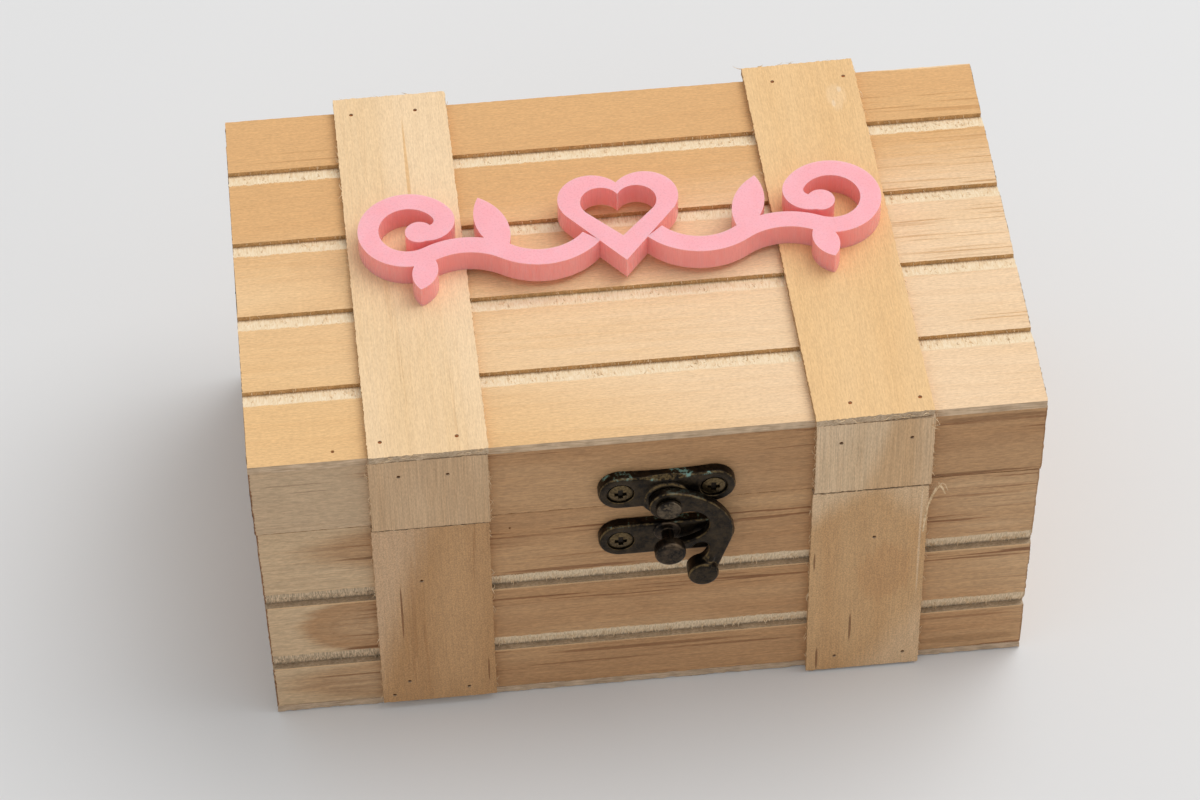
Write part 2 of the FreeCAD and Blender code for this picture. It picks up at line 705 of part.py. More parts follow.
def make_leaf(middle, on_lid):
    rise = 1 if on_lid else -1
    zs = sorted((hinge_z, hinge_z + rise * leaf_height))
    leaf = block((middle - hinge_width / 2, leaf_face_y, zs[0]),
                 (middle + hinge_width / 2, leaf_face_y + leaf_thickness, zs[1]))
    far_z = hinge_z + rise * leaf_height
    corners = [edge for edge in leaf.Edges
               if edge.BoundBox.ZMax == edge.BoundBox.ZMin and edge.BoundBox.XMax == edge.BoundBox.XMin
               and abs(edge.BoundBox.ZMin - far_z) < leaf_corner / 2]
    leaf = leaf.makeFillet(leaf_corner, corners)
    clear = knuckle_radius + knuckle_gap
    for start, end in knuckle_spans(not on_lid):
        left = middle + start - knuckle_side_gap / 2
        right = middle + end + knuckle_side_gap / 2
        leaf = leaf.cut(block((left, leaf_face_y - overrun, hinge_z - clear),
                              (right, leaf_face_y + clear, hinge_z + clear)))
    for start, end in knuckle_spans(on_lid):
        origin = vector(middle + start + knuckle_side_gap / 2, hinge_y, hinge_z)
        length = end - start - knuckle_side_gap
        leaf = leaf.fuse(Part.makeCylinder(knuckle_radius, length, origin, rightward))
    origin = vector(middle - hinge_width / 2 - overrun, hinge_y, hinge_z)
    bore_radius = pin_radius + pin_clearance
    leaf = leaf.cut(Part.makeCylinder(bore_radius, hinge_width + 2 * overrun, origin, rightward))
    board = rail_thickness if on_lid else wall_thickness
    length = leaf_thickness + strap_thickness + board - screw_cover
    pairs = []
    for along, up in hinge_screw_shares:
        face = vector(middle + along * hinge_width, leaf_face_y + leaf_thickness,
                      hinge_z + rise * up * leaf_height)
        leaf = leaf.cut(countersink(face, forward))
        pairs.append(flush_screw(face, forward, length))
    return leaf.removeSplitter(), pairs


def make_pin(middle):
    start = vector(middle - hinge_width / 2, hinge_y, hinge_z)
    return Part.makeCylinder(pin_radius, hinge_width, start, rightward)


# Acrylic ornament: a heart between two scrolls with leaves, cut from one sheet

def flat(x, y):
    return vector(x, ornament_place + y, strap_top_z)


def heart_block(lobe_radius, spacing, depth, rise):
    # Two lobes and two straight sides that run from them to the tip
    half = spacing / 2
    reach = math.hypot(half, depth)
    swing = math.degrees(math.asin(lobe_radius / reach) + math.atan2(half, depth))
    side = math.sqrt(reach ** 2 - lobe_radius ** 2)
    tip = flat(0, rise - depth)
    right = circle_point((0, rise - depth), side, 90 - swing)
    notch_height = rise + math.sqrt(lobe_radius ** 2 - half ** 2)
    outside = circle_point((half, rise), lobe_radius, 45)
    edges = [
        line(tip, flat(right[0], right[1])),
        arc(flat(right[0], right[1]), flat(outside[0], outside[1]), flat(0, notch_height)),
        arc(flat(0, notch_height), flat(-outside[0], outside[1]), flat(-right[0], right[1])),
        line(flat(-right[0], right[1]), tip),
    ]
    return Part.Face(Part.Wire(edges)).extrude(upward * ornament_thickness)


def stroke(centre, radius, start, sweep):
    # Part of a ring, one stroke wide
    inner = radius - stroke_width / 2
    outer = radius + stroke_width / 2

    def p(reach, angle):
        point = circle_point(centre, reach, angle)
        return flat(point[0], point[1])

    end = start + sweep
    middle = start + sweep / 2
    edges = [
        arc(p(outer, start), p(outer, middle), p(outer, end)),
        line(p(outer, end), p(inner, end)),
        arc(p(inner, end), p(inner, middle), p(inner, start)),
        line(p(inner, start), p(outer, start)),
    ]
    return Part.Face(Part.Wire(edges)).extrude(upward * ornament_thickness)


def disc(point, radius):
    return Part.makeCylinder(radius, ornament_thickness, flat(point[0], point[1]))


def ornament_leaf(base, heading, length, width):
    tip = circle_point(base, length, heading)
    middle = circle_point(base, length / 2, heading)
    left = circle_point(middle, width / 2, heading + 90)
    right = circle_point(middle, width / 2, heading - 90)
    edges = [
        arc(flat(*base), flat(*left), flat(*tip)),
        arc(flat(*tip), flat(*right), flat(*base)),
    ]
    return Part.Face(Part.Wire(edges)).extrude(upward * ornament_thickness)


def make_scroll():
    point = tuple(share * heart_depth for share in scroll_start_shares)
    span = ornament_half - point[0]
    heading = scroll_heading
    solids = []
    for index, (radius_share, turn) in enumerate(scroll_arcs_shares):
        radius = radius_share * span
        side = 1 if turn > 0 else -1
        centre = circle_point(point, radius, heading + side * 90)
        start = heading - side * 90
        solids.append(stroke(centre, radius, start, turn))
        point = circle_point(centre, radius, start + turn)
        heading += turn
        solids.append(disc(point, stroke_width / 2))
        for after, leaf_heading, length_share, width_share in leaf_shares:
            if after == index:
                solids.append(ornament_leaf(point, leaf_heading, length_share * span, width_share * span))
    solids.append(disc(point, scroll_ball_radius))
    return solids


def make_ornament():
    heart = heart_block(heart_lobe_radius, heart_lobe_spacing, heart_depth, heart_rise)
    window = heart_block(window_lobe_radius, window_lobe_spacing, window_depth, heart_rise - window_drop)
    scroll = make_scroll()
    mirrored = [solid.mirror(vector(0, 0, 0), rightward) for solid in scroll]
    return heart.cut(window).fuse(scroll + mirrored).removeSplitter()


# Build

def solids_of(pairs):
    return group(solid for solid, bore in pairs)


def bores_of(pairs):
    return [bore for solid, bore in pairs]


def main():
    lid_straps = {name: top_strap(name) for name in top_brad_shares}
    lid_straps.update({name: side_strap(name) for name in side_brad_shares if name.startswith("lid")})
    box_straps = {name: side_strap(name) for name in side_brad_shares if name.startswith("box")}

    wall_faces = ((front_y, backward), (back_y, forward))
    rail_faces = ((lid_front_y, backward), (back_y, forward))
    wall_nails = corner_nails(half_width, wall_thickness, wall_faces,
                              [base_thickness + share * wall_height for share in wall_nail_shares])
    rail_nails = corner_nails(lid_half, rail_thickness, rail_faces,
                              [lid_base_z + share * rail_height for share in rail_nail_shares])
    base_nails = rim_nails(0, upward, base_thickness, half_width, (front_y, back_y), wall_thickness,
                           base_nail_shares, base_end_nail_shares)
    panel_nails = rim_nails(lid_top_z, downward, panel_thickness, lid_half, (lid_front_y, back_y),
                            rail_thickness, panel_nail_shares, panel_end_nail_shares)

    box_leaf_screws = []
    lid_leaf_screws = []
    for side in ("left", "right"):
        middle = strap_middle("box_back_strap_" + side)
        box_leaf, screws = make_leaf(middle, False)
        box_leaf_screws += screws
        lid_leaf, screws = make_leaf(middle, True)
        lid_leaf_screws += screws
        save(side + "_hinge_box_leaf", box_leaf)
        save(side + "_hinge_lid_leaf", lid_leaf)
        save(side + "_hinge_pin", make_pin(middle))

    hook_plate, hook_plate_screws = make_hook_plate()
    catch_plate, catch_screws = make_catch_plate()
    save("hook_plate", hook_plate)
    save("catch_plate", catch_plate)
    save("hook_rivet", make_rivet())
    save("catch_post", make_post())
    save("latch_hook", make_hook())
    save("lid_ornament", make_ornament())

    box_brads = [pair for strap, pairs in box_straps.values() for pair in pairs]
    lid_brads = [pair for strap, pairs in lid_straps.values() for pair in pairs]
    fasteners = {
        "box_strap_brads": box_brads, "wall_nails": wall_nails, "base_nails": base_nails,
        "catch_screws": catch_screws, "hinge_box_screws": box_leaf_screws,
        "lid_strap_brads": lid_brads, "lid_nails": rail_nails + panel_nails,
        "hook_plate_screws": hook_plate_screws, "hinge_lid_screws": lid_leaf_screws,
    }
    for name, pairs in fasteners.items():
        save(name, solids_of(pairs))

    box_bores = bores_of(box_brads + wall_nails + base_nails + catch_screws + box_leaf_screws)
    lid_bores = bores_of(lid_brads + rail_nails + panel_nails + hook_plate_screws + lid_leaf_screws)
    box_wood = make_walls()
    box_wood.update({name: strap for name, (strap, pairs) in box_straps.items()})
    lid_wood = make_lid_boards()
    lid_wood.update({name: strap for name, (strap, pairs) in lid_straps.items()})
    for name, piece in box_wood.items():
        save(name, drill(piece, box_bores))
    for name, piece in lid_wood.items():
        save(name, drill(piece, lid_bores))


main()
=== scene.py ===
import math
import random

import bmesh
import bpy
from mathutils import Matrix, Vector


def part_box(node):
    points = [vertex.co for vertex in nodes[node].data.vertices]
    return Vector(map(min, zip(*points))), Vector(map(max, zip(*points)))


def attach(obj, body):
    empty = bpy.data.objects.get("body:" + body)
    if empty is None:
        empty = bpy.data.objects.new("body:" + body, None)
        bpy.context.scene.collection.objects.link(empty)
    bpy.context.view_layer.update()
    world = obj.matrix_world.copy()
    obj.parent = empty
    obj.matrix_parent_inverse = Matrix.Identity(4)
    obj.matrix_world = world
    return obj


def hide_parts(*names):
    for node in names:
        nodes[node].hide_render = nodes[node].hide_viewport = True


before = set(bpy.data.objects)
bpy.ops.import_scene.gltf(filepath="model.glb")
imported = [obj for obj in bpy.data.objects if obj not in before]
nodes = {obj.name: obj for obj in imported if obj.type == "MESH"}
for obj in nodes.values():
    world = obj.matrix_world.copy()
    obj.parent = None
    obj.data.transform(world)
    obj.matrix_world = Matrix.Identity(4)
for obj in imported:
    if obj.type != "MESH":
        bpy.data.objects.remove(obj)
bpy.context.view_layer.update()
mm = 0.001
tiny = 0.00002    # places closer than this count as one
weld = 0.000001    # points closer than this are merged
print("frame loaded:", len(nodes), "parts")


# edit mode helpers: everything is deselected first, then picked by place or normal

def selectOnly(*pieces):
    bpy.ops.object.select_all(action="DESELECT")
    for piece in pieces:
        piece.select_set(True)
    bpy.context.view_layer.objects.active = pieces[0]


def openEdit(piece):
    selectOnly(piece)
    bpy.ops.object.mode_set(mode="EDIT")


def closeEdit():
    bpy.ops.object.mode_set(mode="OBJECT")


def pick(piece, kind, wanted):
    bpy.ops.mesh.select_all(action="DESELECT")
    bpy.ops.mesh.select_mode(type=kind)
    cage = bmesh.from_edit_mesh(piece.data)
    parts = {"VERT": cage.verts, "EDGE": cage.edges, "FACE": cage.faces}[kind]
    count = 0
    for part in parts:
        if wanted(part):
            part.select_set(True)
            count += 1
    cage.select_flush_mode()
    bmesh.update_edit_mesh(piece.data)
    return count


def pickAll():
    bpy.ops.mesh.select_all(action="SELECT")


def cutEdges(piece, count, wanted):
    pick(piece, "EDGE", wanted)
    bpy.ops.mesh.subdivide(number_cuts=count)


def startFrom(add, **settings):
    bpy.ops.object.select_all(action="DESELECT")
    add(**settings)
    return bpy.context.object


def settle():
    bpy.ops.object.transform_apply(location=True, rotation=True, scale=True)


def show(name, data):
    piece = bpy.data.objects.new(name, data)
    bpy.context.scene.collection.objects.link(piece)
    return piece


def startBlock(name, low, high):
    block = startFrom(bpy.ops.mesh.primitive_cube_add, size=1, location=(low + high) / 2)
    block.name = name
    block.scale = high - low
    settle()
    return block


def unitAlong(axis, side=1):
    way = Vector((0, 0, 0))
    way[axis] = side
    return way


def turnTo(way):
    # turns what points up until it points that way
    return Vector((0, 0, 1)).rotation_difference(way).to_matrix().to_4x4()


def sliceAt(axis, place):
    normal = unitAlong(axis)
    pickAll()
    bpy.ops.mesh.bisect(plane_co=normal * place, plane_no=normal, threshold=weld)


def runsAlong(edge, axis):
    span = edge.verts[1].co - edge.verts[0].co
    return span.length > 0 and abs(span[axis]) > 0.95 * span.length


def near(value, *places):
    return any(abs(value - place) < tiny for place in places)


def liesAt(edge, axis, *places):
    return any(all(near(vert.co[axis], place) for vert in edge.verts) for place in places)


def looksAlong(face, axis, share=0.75):
    return abs(face.normal[axis]) > share


def applyTo(piece, change):
    bpy.context.view_layer.objects.active = piece
    bpy.ops.object.modifier_apply(modifier=change.name)


def roughen(piece, group, wanted, direction, amount, grain, level=0.5):
    # moves the wanted points to and fro by a cloud pattern
    points = [vert.index for vert in piece.data.vertices if wanted(vert.co)]
    piece.vertex_groups.new(name=group).add(points, 1.0, "REPLACE")
    clouds = bpy.data.textures.new(piece.name + group, "CLOUDS")
    clouds.noise_scale = grain
    clouds.noise_depth = 2
    wear = piece.modifiers.new(group, "DISPLACE")
    wear.texture = clouds
    wear.texture_coords = "LOCAL"
    wear.vertex_group = group
    wear.direction = direction
    wear.strength = amount
    wear.mid_level = level
    applyTo(piece, wear)


def roughenEnds(piece, axis, first, last, reach, amount, grain):
    # the ends only lose wood
    for group, end, force in (("lastEnd", last, amount), ("firstEnd", first, -amount)):
        roughen(piece, group, lambda co: abs(co[axis] - end) < reach, "XYZ"[axis], force, grain, 1.0)


dimpleLook = dict(corners=9, inner=0.75, outer=1.15)


def cutDimples(piece, dimples):
    # each dimple is a place, a direction out of the wood, a radius and a depth
    if not dimples:
        return
    cutters = []
    for place, outward, radius, depth in dimples:
        cutter = startFrom(bpy.ops.mesh.primitive_cone_add, vertices=dimpleLook["corners"], depth=2 * depth,
                           radius1=radius * dimpleLook["inner"], radius2=radius * dimpleLook["outer"],
                           location=(0, 0, 0))
        cutter.data.transform(Matrix.Translation(place) @ turnTo(outward))
        cutters.append(cutter)
    selectOnly(*cutters)
    bpy.ops.object.join()
    punch = bpy.context.object
    hole = piece.modifiers.new("dimples", "BOOLEAN")
    hole.operation = "DIFFERENCE"
    hole.solver = "EXACT"
    hole.object = punch
    applyTo(piece, hole)
    bpy.data.objects.remove(punch)


def smoothSoftly(piece, degrees=32):
    selectOnly(piece)
    bpy.ops.object.shade_smooth_by_angle(angle=math.radians(degrees))


def giveFaces(piece, finishes):
    # finishes: (material, test on the face) in order; the first is the default
    for finish, test in finishes:
        piece.data.materials.append(finish)
    openEdit(piece)
    for place, (finish, test) in enumerate(finishes):
        if test is not None and pick(piece, "FACE", test):
            piece.active_material_index = place
            bpy.ops.object.material_slot_assign()
    closeEdit()


# node helpers for the finishes

def newFinish(name):
    finish = bpy.data.materials.new(name)
    finish.use_nodes = True
    steps = finish.node_tree.nodes
    return finish, steps["Principled BSDF"], steps.new("ShaderNodeTexCoord")


def isLink(value):
    return isinstance(value, bpy.types.NodeSocket)


def feed(step, inputs):
    # each input takes a link or a fixed value
    for key, value in inputs.items():
        socket = step.inputs[key]
        if isLink(value):
            value.id_data.links.new(value, socket)
        elif socket.type == "RGBA":
            socket.default_value = (*value, 1.0)
        else:
            socket.default_value = value


def wire(kind, inputs, output=0, **settings):
    # the new node joins the tree of the links that feed it
    tree = next(value.id_data for value in inputs.values() if isLink(value))
    step = tree.nodes.new("ShaderNode" + kind)
    for key, value in settings.items():
        setattr(step, key, value)
    feed(step, inputs)
    return step.outputs[output]


def sums(operation, first, second=0.0):
    return wire("Math", {0: first, 1: second}, operation=operation)


def plus(first, second):
    return sums("ADD", first, second)


def times(first, *others):
    for other in others:
        first = sums("MULTIPLY", first, other)
    return first


def fade(value, start=0.0, end=1.0, low=0.0, high=1.0):
    spans = {"From Min": start, "From Max": end, "To Min": low, "To Max": high}
    return wire("MapRange", {"Value": value, **spans}, interpolation_type="SMOOTHSTEP")


def blend(share, first, second, kind="MIX"):
    return wire("Mix", {0: share, 6: first, 7: second}, 2, data_type="RGBA", blend_type=kind)


def shaded(tone, level):
    grey = wire("CombineColor", {0: level, 1: level, 2: level})
    return blend(1.0, tone, grey, "MULTIPLY")


def inMillimetres(coords, shift=(0, 0, 0), turn=(0, 0, 0)):
    return wire("Mapping", {"Vector": coords.outputs["Object"], "Scale": (1 / mm, 1 / mm, 1 / mm),
                            "Rotation": turn, "Location": shift})


def split(vector):
    return wire("SeparateXYZ", {0: vector}).node.outputs


def attribute(coords, name):
    step = coords.id_data.nodes.new("ShaderNodeAttribute")
    step.attribute_name = name
    return step.outputs["Fac"]


def stretched(spot, scale, detail=2.0, roughness=0.5, shift=(0, 0, 0)):
    laid = wire("Mapping", {"Vector": spot, "Scale": scale, "Location": shift})
    noise = {"Vector": laid, "Scale": 1.0, "Detail": detail, "Roughness": roughness}
    return wire("TexNoise", noise)


def swayed(value, noise, amount):
    # the value moved up and down by a noise between 0 and 1
    return plus(value, times(sums("SUBTRACT", noise, 0.5), amount))


def ringed(value, count, sharpness):
    # lines that rise slowly and end sharply, count of them as the value goes from 0 to 1
    return sums("POWER", sums("FRACT", times(value, count)), sharpness)


def ovalAway(coords, place, reach):
    # 0 in the middle of an oval, 1 on its rim
    laid = wire("Mapping", {"Vector": coords.outputs["Object"], "Location": place, "Scale": reach},
                vector_type="TEXTURE")
    return wire("VectorMath", {0: laid}, "Value", operation="LENGTH")


def slanted(coords, slant, offset):
    # a value that grows steadily over the board, per millimetre
    steady = wire("VectorMath", {0: coords.outputs["Object"], 1: [part / mm for part in slant]},
                  "Value", operation="DOT_PRODUCT")
    return plus(steady, offset)


def bumpy(height, strength, distance):
    return wire("Bump", {"Height": height, "Strength": strength, "Distance": distance})


# pine

grainTurns = {"x": (0, 0, 0), "y": (0, 0, -math.pi / 2), "z": (0, math.pi / 2, 0)}


def heartwood(far, tone, thin, dark, rgb, share, soft):
    # tongue of heartwood: darker towards its rim, with lines that follow it
    wood = blend(fade(far, 0.1, 0.95, 0.6, 1.0), tone, rgb)
    lines = sums("MAXIMUM", times(ringed(far, 3.2, 7.0), 0.3), fade(thin, 0.53, 0.62, 0.0, 0.55))
    wood = blend(lines, wood, dark)
    return blend(fade(far, 1.06, soft, 0.0, share), tone, wood)


def tornSlopes(coords, spot, look, tone, height):
    # fibres torn across the grain on the groove slopes with painted shade at their foot, and a painted
    # highlight on the lit edge of the plank beyond
    torn = attribute(coords, "torn")
    crossing = stretched(spot, look["tornScale"], 3.0, 0.65)
    ragged = stretched(spot, (0.3, 0.3, 0.3), 2.0, 0.6)
    edge = swayed(swayed(torn, crossing, 0.55), ragged, 0.30)
    cream = blend(fade(crossing, 0.30, 0.72), look["tornLight"], look["tornDark"])
    for light, dark, slant, offset in look.get("tornDrifts", ()):
        dull = blend(fade(crossing, 0.36, 0.62), light, dark)
        cream = blend(fade(slanted(coords, slant, offset)), cream, dull)
    # painted shade at the foot of each slope, beside the square wall
    footShade = fade(swayed(torn, crossing, 0.35), look["footFrom"], 1.04, 0.0, look["footForce"])
    cream = blend(footShade, cream, look["tornFoot"])
    tone = blend(fade(edge, look["tornFrom"], look["tornFrom"] + 0.10), tone, cream)
    # painted highlight on the upper edge of each groove's square side
    lipHighlight = fade(swayed(torn, crossing, 0.25), -0.70, -0.92, 0.0, look["lipForce"])
    tone = blend(lipHighlight, tone, look["lip"])
    return tone, plus(height, times(crossing, torn, 1.8))


def burntEnds(coords, spot, look, tone):
    # brown, crumbled saw-cut ends
    crumb = stretched(spot, (0.9, 1.3, 1.3), 3.0, 0.6)
    scorch = fade(swayed(attribute(coords, "rim"), crumb, 1.1), 0.60, 0.80, 0.0, look["burn"])
    if "burnZone" in look:
        scorch = times(scorch, fade(slanted(coords, *look["burnZone"]), 0.0, 1.0, 0.4, 1.0))
    return blend(scorch, tone, look["streak"])


def pineFinish(name, look):
    finish, shader, coords = newFinish(name)
    # turned so that the grain runs along the first axis
    spot = inMillimetres(coords, look["shift"], grainTurns[look["grain"]])
    slow = stretched(spot, (0.012, 0.07, 0.07))
    rings = stretched(spot, (0.0030, look["ringTight"], look["ringTight"]), 1.0)
    band = times(ringed(rings, look["ringCount"], 2.2), fade(slow, 0.30, 0.62, 0.35, 1.0))
    fibre = stretched(spot, look["fibreScale"], 3.0, 0.65)
    dash = stretched(spot, look["dashScale"], 2.0, 0.6)
    thin = stretched(spot, (0.034, look["streakThin"], look["streakThin"]))
    fleck = fade(stretched(spot, (0.6, 3.6, 3.6), 1.0), 0.68, 0.76)
    wobble = stretched(spot, (0.05, 0.9, 0.9), 3.0, 0.6)
    cluster = stretched(spot, (0.007, 0.13, 0.13), 2.0, 0.5, (9, 31, 4))
    cluster = fade(cluster, look["streakFrom"], look["streakFrom"] + 0.14)
    if "streakZone" in look:
        cluster = times(cluster, fade(slanted(coords, *look["streakZone"])))
    streak = times(fade(thin, 0.56, 0.64), cluster)
    tone = blend(fade(slow, 0.35, 0.65), look["light"], look["mid"])
    for rgb, slant, offset in look.get("drifts", ()):
        wander = swayed(slanted(coords, slant, offset), wobble, 0.5)
        tone = blend(fade(wander), tone, rgb)
    for place, reach, rgb, share, soft in look.get("hearts", ()):
        far = swayed(ovalAway(coords, place, reach), wobble, 0.32)
        tone = heartwood(far, tone, thin, look["dark"], rgb, share, soft)
    for share, force, wood in ((band, "ringForce", "dark"), (cluster, "glowForce", "glow"),
                               (streak, "streakForce", "streak"), (fleck, "fleckForce", "dark")):
        tone = blend(times(share, look[force]), tone, look[wood])
    for place, reach, rgb, share in look.get("marks", ()):
        # stains, cracks and pale rubs
        far = swayed(ovalAway(coords, place, reach), wobble, 1.2)
        tone = blend(fade(far, 1.1, 0.7, 0.0, share), tone, rgb)
    for noise, force in ((fibre, look["fibreForce"]), (dash, look["dashForce"])):
        tone = shaded(tone, fade(noise, 0.28, 0.72, 1.0 - force, 1.0 + force))
    height = plus(fibre, plus(dash, times(streak, -0.8)))
    if look["torn"]:
        tone, height = tornSlopes(coords, spot, look, tone, height)
    if "burn" in look:
        tone = burntEnds(coords, spot, look, tone)
    feed(shader, {"Base Color": tone, "Roughness": fade(fibre, 0.2, 0.8, 0.55, 0.75),
                  "Normal": bumpy(height, look["bump"], 0.12 * mm), "Specular IOR Level": 0.25})
    return finish


def sawnFinish(name, light, dark, scale=(3.2, 3.2, 3.2), shift=(0, 0, 0), ringForce=0.4):
    # end grain and cut edges: pores, faint rings and saw marks
    finish, shader, coords = newFinish(name)
    spot = inMillimetres(coords, shift)
    pores = stretched(spot, scale, 3.0, 0.65)
    rings = ringed(stretched(spot, (0.09, 0.09, 0.16), 1.0), 9.0, 3.0)
    blotch = stretched(spot, (0.4, 0.4, 0.4))
    tone = blend(fade(pores, 0.32, 0.70), light, dark)
    tone = blend(times(rings, ringForce), tone, dark)
    tone = shaded(tone, fade(blotch, 0.3, 0.7, 0.86, 1.08))
    feed(shader, {"Base Color": tone, "Roughness": fade(pores, 0.2, 0.8, 0.65, 0.85),
                  "Normal": bumpy(pores, 0.5, 0.15 * mm), "Specular IOR Level": 0.2})
    return finish


def spotsOn(out, depth, reach, spots):
    # each spot: two places and two half sizes on the face in millimetres, then its colour and shares
    laid = []
    for first, second, wide, tall, *rest in spots:
        place, size = [first * mm, second * mm], [wide * mm, tall * mm]
        place.insert(out, depth * mm)
        size.insert(out, reach * mm)
        laid.append((place, size, *rest))
    return laid


sidePine = dict(grain="x", shift=(0, 0, 0), bump=0.5, light=(0.55, 0.327, 0.163), mid=(0.485, 0.27, 0.128),
                dark=(0.27, 0.12, 0.047), streak=(0.21, 0.083, 0.031), glow=(0.43, 0.215, 0.088),
                ringTight=0.085, ringCount=15.0, ringForce=0.14, streakForce=0.80, streakThin=1.15,
                streakFrom=0.47, glowForce=0.28, fleckForce=0.30, fibreForce=0.115,
                fibreScale=(0.14, 3.2, 3.2), dashForce=0.11, dashScale=(0.8, 3.0, 3.0), torn=True,
                tornScale=(3.4, 0.45, 0.45), tornLight=(0.86, 0.68, 0.465), tornDark=(0.54, 0.395, 0.245),
                # the foot tone is painted shade at the foot of each groove slope
                tornFoot=(0.30, 0.24, 0.17), tornFrom=0.16, footForce=0.8, footFrom=0.80,
                # the lip tone is a painted highlight on the upper edge of each groove's square side
                lip=(0.76, 0.50, 0.265), lipForce=0.7)
heartTone = (0.435, 0.235, 0.107)
streakTone = (0.23, 0.10, 0.04)
greyTone = (0.27, 0.17, 0.10)
paleLight = (0.60, 0.375, 0.20)
# the left end is pale and bare of streaks, and burnt more at its saw cut
leftEnd = dict(burn=0.9, burnZone=((-0.02, 0, 0), 0.5), streakZone=((0.08, 0, 0), 5.2))
leftSlant = ((-0.0625, 0, 0), -2.5)

frontPine = pineFinish("front_pine", dict(
    sidePine, **leftEnd,
    drifts=[((0.62, 0.435, 0.26), *leftSlant), (paleLight, (0.05, 0, 0.03), -3.9)],
    tornDrifts=[((0.74, 0.545, 0.35), (0.38, 0.28, 0.18), (-0.15, 0, 0), -7.8),
                ((0.80, 0.615, 0.41), (0.56, 0.41, 0.255), (0.15, 0, 0), -7.8)],
    hearts=spotsOn(1, -48.9, 30, [
        (-48.0, 50.8, 26.5, 7.4, heartTone, 0.95, 0.45), (-54.5, 26.8, 19.0, 9.8, heartTone, 0.9, 0.80),
        (-52.0, 8.5, 28.0, 7.4, heartTone, 0.7, 0.60)]),
    marks=spotsOn(1, -48.9, 30, [
        (0.0, 12.0, 24.0, 0.6, streakTone, 0.65), (16.0, 10.4, 16.0, 0.4, streakTone, 0.6),
        (-12.0, 8.5, 13.0, 0.3, streakTone, 0.5), (-17.0, 39.4, 18.0, 0.5, streakTone, 0.7),
        (66.0, 5.0, 14.0, 1.3, (0.36, 0.19, 0.085), 0.6), (66.0, 12.4, 11.0, 0.4, streakTone, 0.5),
        (-57.0, 47.8, 7.5, 0.4, (0.21, 0.10, 0.04), 0.7), (-59.0, 19.2, 6.2, 0.4, (0.21, 0.09, 0.035), 0.8),
        (-60.0, 10.6, 11.0, 0.3, (0.24, 0.11, 0.045), 0.6)])))
railPine = pineFinish("rail_pine", dict(
    sidePine, **leftEnd, shift=(31, 7, 12), torn=False, light=(0.535, 0.315, 0.157), mid=(0.46, 0.255, 0.12),
    streakForce=0.7, drifts=[((0.575, 0.405, 0.25), *leftSlant)],
    marks=spotsOn(1, -49.2, 30, [
        (70.0, 75.0, 13.0, 0.7, (0.25, 0.12, 0.05), 0.6), (66.0, 58.6, 14.0, 0.4, (0.20, 0.09, 0.035), 0.7),
        (-70.0, 72.3, 8.0, 0.2, greyTone, 0.5), (-68.0, 70.0, 5.0, 0.2, greyTone, 0.45)])))
backPine = pineFinish("back_pine", dict(sidePine, burn=0.7, shift=(-60, 20, 33)))
sidewaysPine = dict(sidePine, grain="y", light=paleLight)
endPine = pineFinish("end_pine", dict(sidewaysPine, shift=(90, 14, -21)))
railEndPine = pineFinish("rail_end_pine", dict(sidewaysPine, shift=(40, -34, 51), torn=False))
lidPine = pineFinish("lid_pine", dict(
    sidePine, light=(0.835, 0.56, 0.30), mid=(0.80, 0.515, 0.26), dark=(0.58, 0.30, 0.115),
    streak=(0.53, 0.265, 0.095), glow=(0.77, 0.47, 0.21), shift=(12, 55, 3), ringTight=0.06, ringCount=10.0,
    ringForce=0.12, streakForce=0.7, streakFrom=0.42, streakThin=1.7, streakZone=((0.05, 0.022, 0), -2.3),
    glowForce=0.18, fleckForce=0.20, fibreForce=0.075, fibreScale=(0.25, 4.0, 4.0), dashForce=0.085,
    dashScale=(1.1, 3.8, 3.8), tornFrom=0.26, lipForce=0.0, tornScale=(3.8, 0.5, 0.5),
    # the foot tone is painted shade at the foot of each groove slope
    tornLight=(0.93, 0.765, 0.54), tornDark=(0.80, 0.585, 0.35), tornFoot=(0.40, 0.285, 0.165), footForce=0.7,
    footFrom=0.86, drifts=[((0.86, 0.615, 0.385), (0.0075, -0.002, 0), 0.50),
                           ((0.72, 0.415, 0.18), (-0.004, 0.045, 0), -0.10),
                           ((0.79, 0.495, 0.23), (-0.010, -0.030, 0), -0.90)],
    marks=spotsOn(2, 78.5, 10, [
        (69.0, 49.5, 14.0, 1.1, (0.93, 0.70, 0.44), 0.75), (-58.0, 35.6, 17.0, 0.22, (0.50, 0.26, 0.10), 0.6),
        (-64.0, 38.1, 11.0, 0.18, (0.52, 0.28, 0.11), 0.5)])))
plyFinish = pineFinish("base_ply", dict(sidePine, shift=(7, 80, 44), light=(0.70, 0.54, 0.38), torn=False,
                                        mid=(0.62, 0.46, 0.32), streakForce=0.3, glowForce=0.1))
sawnEdge = sawnFinish("sawn_edge", (0.56, 0.34, 0.16), (0.38, 0.20, 0.08))
grooveWall = sawnFinish("groove_wall", (0.68, 0.43, 0.20), (0.48, 0.27, 0.11), (2.6, 2.6, 2.6), (4, 4, 1))
greyLedge = sawnFinish("grey_ledge", (0.58, 0.44, 0.30), (0.40, 0.285, 0.178),
                       (1.6, 3.0, 3.0), (5, 2, 9), 0.1)
endGrain = sawnFinish("end_grain", (0.62, 0.42, 0.23), (0.38, 0.21, 0.09), shift=(3, 8, 1))
panelEdge = sawnFinish("panel_edge", (0.72, 0.53, 0.355), (0.49, 0.335, 0.205),
                       (0.22, 3.6, 3.6), (14, 3, 6), 0.15)
plyEdge = sawnFinish("ply_edge", (0.64, 0.475, 0.33), (0.43, 0.30, 0.19), (0.20, 3.4, 3.4), (2, 2, 40), 0.1)
print("pine finishes made")


# boards: along, stack and out are the axes of the length, the row of planks and the outer face

